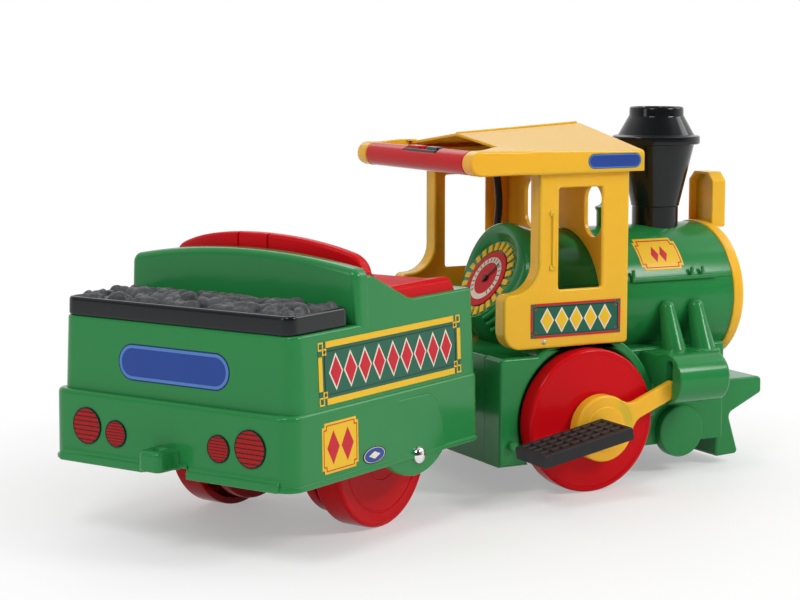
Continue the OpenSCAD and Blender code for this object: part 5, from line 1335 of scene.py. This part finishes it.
@dataclass
class Tender:
    """Tender shell, seat, coal lid and tail lights, in the tender's own frame."""

    bench: Bench
    rear: float = -510.0
    front: float = -73.0
    half_w: float = 205.0
    bottom: float = 105.0
    ledge: float = 202.0
    upper_rear: float = -497.0
    upper_half: float = 202.0
    deck: float = 301.0
    side_top: float = 323.0
    shoulder: float = 364.0
    crown: float = 390.5
    crown_r: float = 1030.0
    arch_x: tuple[float, float] = (-357.0, -329.0)
    lean: float = 4.0
    corner: float = 22.0
    axle: tuple[float, float] = (-229.0, 108.0)
    lid_x: tuple[float, float] = (-494.0, -366.0)
    lid_half: float = 193.0
    lid_z: tuple[float, float] = (301.4, 326.3)
    seat_rear: float = -328.5
    seat_front: float = -113.5
    seat_half: float = 189.4
    back_half: float = 166.0
    back_top: float = 410.0
    groove_y: float = 25.5

    def build(self) -> None:
        """Make every piece of the tender."""
        self._lower()
        self._upper()
        self._fittings()
        self._seat()
        self._back()
        self._lid()
        self._lights()

    def _plan(self, rear: float, half: float) -> Array:
        """Plan of the shell: four rounded corners, sampled every 3 mm."""
        c = self.corner
        corners = [[rear, -half, c], [self.front, -half, 12], [self.front, half, 12], [rear, half, c]]
        return loop_of(resampled(loop_of(rounded(corners, 12)), 3.0))

    def _lower(self) -> None:
        """Lower wall: a lip along its foot, a slight draft and a rounded ledge carried round the plan."""
        z, top, x = self.bottom, self.ledge, self.rear
        rows = [
            (-4, z), (2.4, z), (3.4, z + 0.8), (3.7, z + 2), (3.6, z + 4.6), (3.0, z + 5.8), (1.6, z + 6.4),
            (0.9, z + 7.4), (0.1, top - 7), (-0.3, top - 4), (-1.4, top - 1.8), (-3.2, top - 0.4),
            (-5.4, top), (-16, top), (-16, top - 4), (-4, top - 4),
        ]

        def notch(p: Array) -> Array:
            """Lifts the foot of the back round the tow tongue."""
            inside = (np.abs(p[:, 1]) < 36) & (p[:, 0] < x + 12)
            return p + np.outer(np.where(inside, 13 * (1 - smoothstep(p[:, 2], z, z + 35)), 0), (0, 0, 1))

        wall = ring_wall(self._plan(x, self.half_w), rows).mapped(notch)
        self.bench.piece("tender_lower", wall, GREEN, "tender_body")
        bar = np.vstack([
            [[x + 4, z], [x - 5.8, z], [x - 7, z + 1.2], [x - 7, z + 9.6], [x - 6.2, z + 11.2]],
            arc((x - 10.2, z + 20.2), 9.85, -64, -1, 8),
            [[x + 4, z + 20.4]],
        ])
        bumper = slab(bar, (37, 187), (2, 2), Axis.Y)
        self.bench.piece("tender_bumper", bumper + bumper.mirrored(), GREEN, "tender_body")

    def _rise(self, x: Array) -> Array:
        """Top of the side walls along the tender: deck, shoulder, then an S down to the seat's level."""
        start, end, low = self.arch_x[0], self.front + 20, self.deck - 60
        span = self.front - start
        curve = rounded([
            [start, low, 0], [start, self.shoulder, 9], [start + 0.12 * span, self.shoulder, 34],
            [start + 0.44 * span, self.side_top, 62], [end, self.side_top, 0], [end, low, 0],
        ], 10)
        line = curve[22:-11]
        order = np.argsort(line[:, 0])
        height = np.interp(x, line[order, 0], line[order, 1])
        return np.where(x < start + 10, self.deck, np.minimum(height, self.deck + (x - start - 10) * 30))

    def _lean(self, z: Array | float) -> Array | float:
        """Outset of the leaning outer face at a height."""
        return -self.lean * (z - self.ledge) / (self.deck - self.ledge)

    def _upper(self) -> None:
        """Upper wall: its top follows the side's curve, its foot stands on the ledge, and it leans in."""
        path = self._plan(self.upper_rear, self.upper_half)
        top = self._rise(path[:, 0])
        low = self.ledge - 1.0
        lean = self._lean(top)
        a = np.radians(np.linspace(0, 90, 5))
        rows = [(self._lean(np.full(len(path), low)), low)]
        rows += [(lean - 4 * (1 - np.cos(k)), top - 4 * (1 - np.sin(k))) for k in a]
        rows += [(lean - 8 - 4 * np.sin(k), top - 4 * (1 - np.cos(k))) for k in a]
        rows += [(-12.0 + lean, low)]
        self.bench.piece("tender_upper", ring_wall(path, rows), GREEN, "tender_body")
        half = self.upper_half - self.lean * 1.2
        deck = box_loop((self.upper_rear + 6, self.arch_x[1]), (-half + 6, half - 6), 14)
        floor = slab(deck, (self.deck - 5, self.deck - 0.4), (1, 1), Axis.Z)
        sill = box_loop((-121, self.front - 4), (-half + 8, half - 8), 6)
        step = slab(sill, (314, self.side_top - 0.3), (1, 1), Axis.Z)
        self.bench.piece("tender_arch", self._arch() + floor + step, GREEN, "tender_body")

    def _arch(self) -> Shape:
        """The wall behind the seat: leaning sides, round shoulders and a crown of one wide circle."""
        low, r = self.deck - 8, self.crown_r
        head, foot = (self.upper_half + self._lean(z) + 0.3 for z in (self.shoulder, low))
        reach = head - 11.6
        middle = self.crown - r + math.sqrt(r**2 - reach**2) - 13.8
        sweep = math.degrees(math.asin(reach / r))
        outline = np.vstack([
            [[-foot, low], [foot, low]],
            arc((head - 14, middle), 14, 0, 80, 10),
            arc((0, self.crown - r), r, 90 - sweep, 90 + sweep, 64)[1:-1],
            arc((14 - head, middle), 14, 100, 180, 10),
        ])
        return slab(outline, self.arch_x, (10, 6), Axis.X)

    def _fittings(self) -> None:
        """Pads round the axle ends, which fade into the wall to the rear, the tow tongue and the fork."""
        out, x = -self.half_w, self.rear
        low = np.column_stack([arc((-233, 181), 100, 226, 308, 24), np.full(24, 0.1)]).tolist()
        pad = [[-303, 190, 8], [-303, 109, 4], *low, [-164, 112, 14], [-168, 145, 30], [-190, 190, 30]]
        lobe = slab(rounded(pad, 4), (out - 3, out + 5), (2.2, 0), Axis.Y)
        lobe = lobe.mapped(lambda p: p + np.outer(3.4 * (1 - smoothstep(p[:, 0], -300, -250)), (0, 1, 0)))
        self.bench.both("axle_pad", lobe, GREEN, "tender_body")
        tongue = rounded([
            [x - 38, -19, 10], [x - 8, -20, 20], [x + 8, -28, 8], [x + 8, 28, 8], [x - 8, 20, 20],
            [x - 38, 19, 10],
        ], 8)
        tow = slab(tongue, (115, 143), (4, 7), Axis.Z, [circle((x - 15, 0), 6, 32)])
        plan = rounded([[-80, -45, 5], [45, -45, 44.9], [45, 45, 44.9], [-80, 45, 5]], 16)
        fork = sum((slab(plan, (z, z + 17), (3, 3), Axis.Z) for z in (99.7, 153.3)), tow)
        self.bench.piece("tender_couplings", fork, GREEN, "tender_body")
        rows = np.array([[0, -7.4], [3.5, -7.1], [7.5, -5.9], [10.4, -3.8], [11.8, -1.2], [12, 1], [0, 1]])
        cap = turned(rows + [0, out - 3], Axis.Y, self.axle, 48)
        self.bench.piece("axle_domes", cap + cap.mirrored(), CHROME, "axle_caps")

    def _seat(self) -> None:
        """Seat: a pan of heights between raised sides that sweep up into the back."""
        back, front, half = self.seat_rear, self.seat_front, self.seat_half
        x, y = np.linspace(back, front, 120), np.linspace(-half, half, 160)
        gx, gy = np.meshgrid(x, y, indexing="ij")
        from_back, from_front, from_side = gx - back, front - gx, half - np.abs(gy)
        sweep = 30 * (1 - smoothstep(from_back, 22, 76)) ** 1.6
        pan = self.side_top + 1 + sweep + 13 * (1 - smoothstep(from_front, 8, 52))
        side = self.side_top + 18 + 31 * (1 - smoothstep(from_back, 8, 62)) ** 1.5
        top = pan + np.maximum(side - pan, 0) * (1 - smoothstep(from_side, 10, 46))
        rim = 12 * (1 - smoothstep(from_front, 0, 11)) ** 2 + 6 * (1 - smoothstep(from_side, 0, 10)) ** 2
        self.bench.piece("seat_pan", relief(x, y, top - rim, self.side_top - 6), SEAT, "seat", sharp=60)

    def _back(self) -> None:
        """Back: a rounded bar section carried across, bent forward by its distance out squared.

        Its top falls by 11 (y/112)^2 + 5 (y/150)^4, its ends are quarter rounds, and two grooves cross it.
        """
        wide, cut = self.back_half, self.groove_y
        fine = np.geomspace(0.01, 20, 14)
        beside = np.array([-1.6, -1.0, -0.5, 0.5, 1.0, 1.6])
        y = np.unique(np.concatenate([
            np.linspace(-wide, wide, 141), wide - fine, fine - wide, beside - cut, beside + cut,
        ]))
        out = np.abs(y)

        def round_off(r: float) -> Array:
            """Quarter rounds at both ends: zero until r from the end, one at it."""
            return 1 - np.sqrt(np.maximum(1 - (np.maximum(out - wide + r, 0) / r) ** 2, 0))

        tip = round_off(9)
        groove = 3.4 * (1 - smoothstep(np.abs(out - cut), 0.4, 1.5))
        top = self.back_top - 11 * (out / 112) ** 2 - 5 * (out / 150) ** 4 - 22 * round_off(20) - groove
        rear = self.seat_rear + 0.5 + 30 * (out / 165) ** 2 + 6 * tip + groove
        front = rear + 23.0 - 13 * tip - 2 * groove
        a = np.radians(np.linspace(0, 90, 6))[:, None]
        low = np.full_like(y, self.side_top - 6)
        x = np.vstack([rear, rear + 5 * (1 - np.cos(a)), front - 9 * (1 - np.sin(a)), front + 8])
        z = np.vstack([low, top - 5 * (1 - np.sin(a)), top - 9 * (1 - np.cos(a)), low])
        shape = grid(np.stack([x, np.broadcast_to(y, x.shape), z], -1), wrap_rows=True)
        count = len(y)
        shape.faces += [list(range(k, len(x) * count, count)) for k in (0, count - 1)]
        self.bench.piece("seat_back", shape, SEAT, "seat", sharp=50)

    def _lid(self) -> None:
        """Lid: a black rim carried round its plan, and its heap of coal."""
        (z0, z1), half, inside = self.lid_z, self.lid_half, 7.2
        plan = loop_of(resampled(loop_of(box_loop(self.lid_x, (-half, half), 14, 10)), 3.0))
        rows = [
            (-2.6, z0), (-1.0, z0 + 0.7), (-0.2, z0 + 2.2), (0, z0 + 4), (-0.5, z1 - 5), (-0.9, z1 - 2.6),
            (-2.0, z1 - 0.8), (-3.8, z1), (-6, z1), (-7.4, z1 - 1), (-8, z1 - 3), (-8, z0),
        ]
        self.bench.piece("lid_rim", ring_wall(plan, rows), BLACK, "coal_lid", slot="coal", body="lid")
        x = np.linspace(self.lid_x[0] + inside, self.lid_x[1] - inside, 128)
        y = np.linspace(-half + inside, half - inside, 400)
        heap = relief(x, y, z1 - 6 + self._coal(x, y), z1 - 12)
        self.bench.piece("coal_heap", heap, CoalFinish(), "coal_lid", body="lid", sharp=28)

    @staticmethod
    def _coal(x: Array, y: Array) -> Array:
        """Heights of a heap: the highest of many tilted, blunt lumps h (1 - reach^2)^0.4 + tilt.

        Args:
            x: places along the lid.
            y: places across it.

        Returns:
            A height for each pair of places, lower towards the rim.
        """
        gx, gy = np.meshgrid(x, y, indexing="ij")
        draw = np.random.default_rng(23)
        count, window = 230, 26
        seed = draw.uniform([x[0] + 4, y[0] + 4], [x[-1] - 4, y[-1] - 4], (count, 2))
        size = draw.uniform(8, 19, count)
        tall = draw.uniform(3, 8, count) + 0.28 * size
        squash = draw.uniform(0.65, 1.0, count)
        turn = draw.uniform(0, np.pi, count)
        tilt = draw.uniform(-0.3, 0.3, (count, 2))
        heap = np.full(gx.shape, 2.0)
        for s, r, h, q, w, t in zip(seed, size, tall, squash, turn, tilt):
            near = tuple(slice(*np.searchsorted(v, (m - window, m + window))) for v, m in zip((x, y), s))
            dx, dy = gx[near] - s[0], gy[near] - s[1]
            u, v = dx * np.cos(w) + dy * np.sin(w), (dy * np.cos(w) - dx * np.sin(w)) / q
            reach = (np.abs(u) ** 3 + np.abs(v) ** 3 + (0.8 * np.abs(u + v)) ** 3) ** (1 / 3) / r
            lump = h * np.maximum(1 - reach**2, 0) ** 0.4 + np.where(reach < 1, t[0] * dx + t[1] * dy, 0)
            heap[near] = np.maximum(heap[near], lump)
        edge = np.minimum(np.minimum(gx - x[0], x[-1] - gx), np.minimum(gy - y[0], y[-1] - gy))
        mound = 1 + 0.35 * smoothstep(edge, 0, 45)
        rough = 0.35 * np.sin(gx * 1.7 + 2.1 * np.sin(gy * 0.9)) * np.sin(gy * 1.3 + 1.7 * np.sin(gx * 1.1))
        return np.minimum(heap, 15.5) * mound * (0.3 + 0.7 * smoothstep(edge, 0, 10)) + rough

    def _lights(self) -> None:
        """Tail lights: flat red discs with a thin black edge and lines across."""
        red, dark = Shape(), Shape()
        face = self.rear - 0.9
        for y, z, r, lines in ((140, 156, 25, 7), (88, 150.4, 18.3, 8)):
            inner, thick = r - 1.7, 0.24 * r / (lines + 1)
            disc = np.array([[0, -1.4], [inner, -1.4], [inner, 2], [0, 2]]) + [0, face]
            edge = np.array([[r, 2], [r, -1.2], [r - 0.3, -1.6], [r - 1.8, -1.6], [r - 1.8, 2], [r, 2]])
            for middle in (-y, y):
                red = red + turned(disc, Axis.X, (middle, z), 72)
                dark = dark + turned(edge + [0, face], Axis.X, (middle, z), 72)
                for k in (np.arange(lines) - (lines - 1) / 2) * 2 * r / (lines + 1):
                    w = math.sqrt(inner**2 - k**2)
                    bar = box_loop((middle - w, middle + w), (z + k - thick, z + k + thick))
                    dark = dark + slab(bar, (face - 1.7, face), (0, 0), Axis.X)
        self.bench.piece("tail_lenses", red, LAMP_RED, "tail_lights")
        self.bench.piece("tail_bezels", dark, PRINT_DARK, slot="black_plastic")


@dataclass(frozen=True)
class Panel:
    """A face that takes labels: its wrap puts points of a label's plane and a lift onto the face.

    A label is cut at the heights in slices, so that it can bend.
    """

    bench: Bench
    wrap: Callable[[Array], Array]
    facing: tuple[float, float, float]
    slices: Sequence[float] = ()

    @staticmethod
    def upright(bench: Bench, out: int, reach: Callable[[Array], Array | float]) -> "Panel":
        """A side panel whose distance from the middle plane depends on the height.

        Args:
            bench: where its labels are made.
            out: -1 on the right and 1 on the left.
            reach: the distance at a height.

        Returns:
            The panel.
        """

        def wrap(p: Array) -> Array:
            """Heights stay, and the lift goes outwards."""
            return np.column_stack([p[:, 0], out * (reach(p[:, 1]) + p[:, 2]), p[:, 1]])

        return Panel(bench, wrap, (0, out, 0))

    def lay(self, name: str, patches: Sequence[Sequence[Array]], layer: int, finish: Finish) -> None:
        """Lay flat patches of one colour on the face.

        Args:
            name: the piece's name.
            patches: for each patch, its outline and the outlines of its holes.
            layer: how many layers of print lie below.
            finish: the ink.
        """
        sheet = bmesh.new()
        for group in patches:
            clean = [loop_of(g) for g in group]
            verts = [sheet.verts.new((*p, 0.0)) for p in np.vstack(clean).tolist()]
            for face in tessellate_polygon([[Vector((*p, 0.0)) for p in g.tolist()] for g in clean]):
                if len(set(face)) == 3:
                    sheet.faces.new([verts[i] for i in face])
        for height in self.slices:
            every = [*sheet.verts, *sheet.edges, *sheet.faces]
            bmesh.ops.bisect_plane(sheet, geom=every, dist=1e-4, plane_co=(0, height, 0), plane_no=(0, 1, 0))
        sheet.verts.index_update()
        flat = np.array([v.co[:] for v in sheet.verts])
        faces = [[v.index for v in f.verts] for f in sheet.faces]
        sheet.free()
        flat[:, 2] = 0.35 + 0.22 * layer
        self.bench.piece(name, Shape(self.wrap(flat), faces), finish, wall=0.5, facing=self.facing)


@dataclass
class Labels:
    """Printed labels: bordered banners and plates with plain ornaments."""

    loco: Bench
    tender: Bench

    def build(self) -> None:
        """Lay every label on its panel."""
        inks = (PRINT_RED, PRINT_YELLOW)
        for out, side in ((-1, "right"), (1, "left")):
            self._tender_side(out, side)
            cab = Panel.upright(self.loco, out, lambda z: Cab.half_w)
            self._banner(cab, f"cab_banner_{side}", (-99, 58), (236, 287), inks, 3.2, 6.0)
            self._boiler(out, side)
            roof = Panel.upright(self.loco, out, lambda z: Cab.roof_half)
            self._badge(roof, f"roof_badge_{side}", (-7, 86), (483, 505))
        self._tender_rear()

    @staticmethod
    def _lean(z: Array) -> Array:
        """How far the tender's upper wall has come in at a height."""
        return Tender.lean * (z - Tender.ledge) / (Tender.deck - Tender.ledge)

    @staticmethod
    def _ring(a: Sequence[float], b: Sequence[float], t: float) -> list[Array]:
        """A rectangular frame t wide, as an outline and its hole."""
        return [box_loop(a, b, 0.0, 1), box_loop((a[0] + t, a[1] - t), (b[0] + t, b[1] - t), 0.0, 1)]

    @staticmethod
    def _lozenges(mid: Sequence[float], half: Sequence[float], pitch: float, count: int) -> list[list[Array]]:
        """A row of lozenges."""
        one = np.array([[-half[0], 0], [0, -half[1]], [half[0], 0], [0, half[1]]])
        return [[one + [mid[0] + (k - (count - 1) / 2) * pitch, mid[1]]] for k in range(count)]

    def _banner(
        self,
        panel: Panel,
        name: str,
        a: Sequence[float],
        b: Sequence[float],
        inks: tuple[Finish, Finish],
        bar: float,
        knot: float,
    ) -> None:
        """A railway banner: a green field, a bar along each side, knotted corners and a row of lozenges.

        Args:
            panel: where the banner lies.
            name: start of the pieces' names.
            a: ends of the banner along the panel.
            b: its foot and top.
            inks: of the bars and squares, and of the lozenges.
            bar: width of a bar.
            knot: side of a corner square.
        """
        panel.lay(f"{name}_field", [[box_loop(a, b, 0.0, 1)]], 0, PRINT_GREEN)
        thin, small = bar / 4, knot * 0.8
        patches = []
        for low in (b[0], b[1] - bar):
            patches.append([box_loop((a[0] + knot * 1.5, a[1] - knot * 1.5), (low, low + bar), 0.0, 1)])
        for low in (a[0], a[1] - bar):
            patches.append([box_loop((low, low + bar), (b[0] + knot * 1.7, b[1] - knot * 1.7), 0.0, 1)])
        for x, sx in ((a[0], 1), (a[1], -1)):
            for z, sz in ((b[0], 1), (b[1], -1)):
                patches.append(self._ring(sorted((x, x + sx * knot)), sorted((z, z + sz * knot)), thin))
                u, v = x + sx * small, z + sz * small
                patches.append(self._ring(sorted((u, u + sx * small)), sorted((v, v + sz * small)), thin))
        panel.lay(f"{name}_border", patches, 1, inks[0])
        t = bar * 1.55
        line = self._ring((a[0] + t, a[1] - t), (b[0] + t, b[1] - t), 0.7)
        panel.lay(f"{name}_line", [line], 2, PRINT_DARK)
        mid = ((a[0] + a[1]) / 2, (b[0] + b[1]) / 2)
        tall = (b[1] - b[0]) / 2 - bar * 2
        pitch = tall * 1.32
        count = int((a[1] - a[0] - bar * 7) / pitch) | 1
        panel.lay(f"{name}_halo", self._lozenges(mid, (tall * 0.62, tall), pitch, count), 1, PRINT_CREAM)
        marks = self._lozenges(mid, (tall * 0.5, tall * 0.82), pitch, count)
        panel.lay(f"{name}_lozenges", marks, 2, inks[1])

    def _plate(self, panel: Panel, name: str, a: Sequence[float], b: Sequence[float]) -> None:
        """A yellow plate with notched corners, a red line inside its edge and two lozenges."""

        def notched(t: float, n: float) -> Array:
            """Outline t inside the plate's edge with square notches n deep."""
            x0, x1, z0, z1 = a[0] + t, a[1] - t, b[0] + t, b[1] - t
            return np.array([
                [x0 + n, z0], [x1 - n, z0], [x1 - n, z0 + n], [x1, z0 + n], [x1, z1 - n], [x1 - n, z1 - n],
                [x1 - n, z1], [x0 + n, z1], [x0 + n, z1 - n], [x0, z1 - n], [x0, z0 + n], [x0 + n, z0 + n],
            ])

        panel.lay(f"{name}_field", [[notched(0, 5)]], 0, PRINT_YELLOW)
        panel.lay(f"{name}_line", [[notched(3, 5.5), notched(4.2, 5.8)]], 1, PRINT_RED)
        mid = ((a[0] + a[1]) / 2, (b[0] + b[1]) / 2)
        tall = (b[1] - b[0]) / 2 - 11
        panel.lay(f"{name}_mark", self._lozenges(mid, (tall * 0.6, tall), tall * 1.4, 2), 1, PRINT_RED)

    @staticmethod
    def _badge(panel: Panel, name: str, a: Sequence[float], b: Sequence[float]) -> None:
        """A blue badge with round ends, lighter along its edge."""
        r = (b[1] - b[0]) / 2 - 0.1
        for k, (t, finish) in enumerate(((0.0, PRINT_DEEP), (r * 0.07, PRINT_SKY), (r * 0.24, PRINT_BLUE))):
            loop = box_loop((a[0] + t, a[1] - t), (b[0] + t, b[1] - t), r - t, 14)
            panel.lay(f"{name}_{k}", [[loop]], k, finish)

    def _tender_side(self, out: int, side: str) -> None:
        """Banner on the upper wall, and a plate and an oval on the lower wall."""
        upper = Panel.upright(self.tender, out, lambda z: Tender.upper_half - self._lean(z))
        lower = Panel.upright(self.tender, out, lambda z: 205.9 - (z - 114) / 83)
        inks = (PRINT_YELLOW, PRINT_RED)
        self._banner(upper, f"side_banner_{side}", (-446.5, -114.3), (206.8, 288.5), inks, 8.2, 11.0)
        self._plate(lower, f"side_plate_{side}", (-446.5, -368), (118.4, 184.6))
        spot = np.array([-332.0, 125.8])
        oval = circle((0, 0), 1, 48) * [26, 11.3]
        for k, (share, finish) in enumerate(((1.0, PRINT_DARK), (0.9, PRINT_CREAM), (0.84, PRINT_BLUE))):
            lower.lay(f"side_oval_{side}_{k}", [[spot + oval * share]], k, finish)
        lower.lay(f"side_oval_{side}_mark", self._lozenges(spot, (13, 5), 1, 1), 3, PRINT_CREAM)

    def _boiler(self, out: int, side: str) -> None:
        """Plate bent to the boiler's side."""
        radius, middle = Boiler.r, Boiler.z

        def wrap(p: Array) -> Array:
            """Heights become places on a circle of the boiler's radius."""
            r = radius + p[:, 2]
            up = np.arcsin(np.clip((p[:, 1] - middle) / radius, -1, 1))
            return np.column_stack([p[:, 0], out * r * np.cos(up), middle + r * np.sin(up)])

        panel = Panel(self.loco, wrap, (0, out, 0.5), np.arange(318, 361, 3.0))
        self._plate(panel, f"boiler_plate_{side}", (150, 229), (316, 361))

    def _tender_rear(self) -> None:
        """Plain oval badge on the tender's back."""

        def wrap(p: Array) -> Array:
            """The back leans in with the height."""
            return np.column_stack([Tender.upper_rear + self._lean(p[:, 1]) - p[:, 2], p[:, 0], p[:, 1]])

        self._badge(Panel(self.tender, wrap, (-1, 0, 0)), "rear_badge", (-95, 95), (222, 271))


@dataclass
class Insides:
    """Finishes of the nodes that keep their own shape."""

    finishes: tuple = (
        (STEEL, (
            "front_axle", "pedal_pins_right", "pedal_pins_left", "pivot_bolt", "pivot_nut", "pivot_washers",
            "rear_axle", "axle_spacers", "motor", "motor_pinion", "layshaft", "seat_screws",
        )),
        (NYLON, ("drive_gear", "lay_gear")),
        (DARK, (
            "sound_module", "speaker", "front_bushes", "coal_bin", "gearbox_right", "gearbox_left", "battery",
            "battery_strap",
        )),
    )

    def dress(self, nodes: dict[str, bpy.types.Object]) -> None:
        """Give each node its finish.

        Args:
            nodes: the frame's objects by node name.
        """
        for finish, names in self.finishes:
            for name in names:
                mesh = nodes[name].data
                mesh.materials.clear()
                mesh.materials.append(finish.material())
                LOG.info("%s: %s", name, finish.name)


def places(record: dict) -> tuple[Place, Place]:
    """The two local frames, read from the record's joints.

    Args:
        record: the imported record.

    Returns:
        The locomotive's frame and the tender's.
    """
    joints = {j["name"]: j for j in record["behaviour"]["joints"]}
    axle, pivot = joints["front_axle_spin"]["pos_m"], joints["tender_pivot"]["pos_m"]
    across = joints["rear_wheel_right_spin"]["axis"]
    return Place((axle[0], axle[1]), 0.0), Place((pivot[0], pivot[1]), math.atan2(-across[0], across[1]))


def main() -> None:
    """Load the frame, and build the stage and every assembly."""
    logging.basicConfig(level=logging.INFO, format="%(message)s")
    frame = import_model()
    bpy.context.scene.view_settings.view_transform = "Standard"
    loco, tender = places(frame["record"])
    Stage().build(loco)
    loco_bench, tender_bench = Bench(loco, "loco"), Bench(tender, "tender")
    Lead(loco_bench).build()
    LowerBody(loco_bench).build()
    Boiler(loco_bench).build()
    Cab(loco_bench).build()
    Wheels(loco_bench, tender_bench).build()
    Tender(tender_bench).build()
    Labels(loco_bench, tender_bench).build()
    Insides().dress(frame["nodes"])
    LOG.info("%d pieces", loco_bench.count + tender_bench.count)


if __name__ == "__main__":
    main()
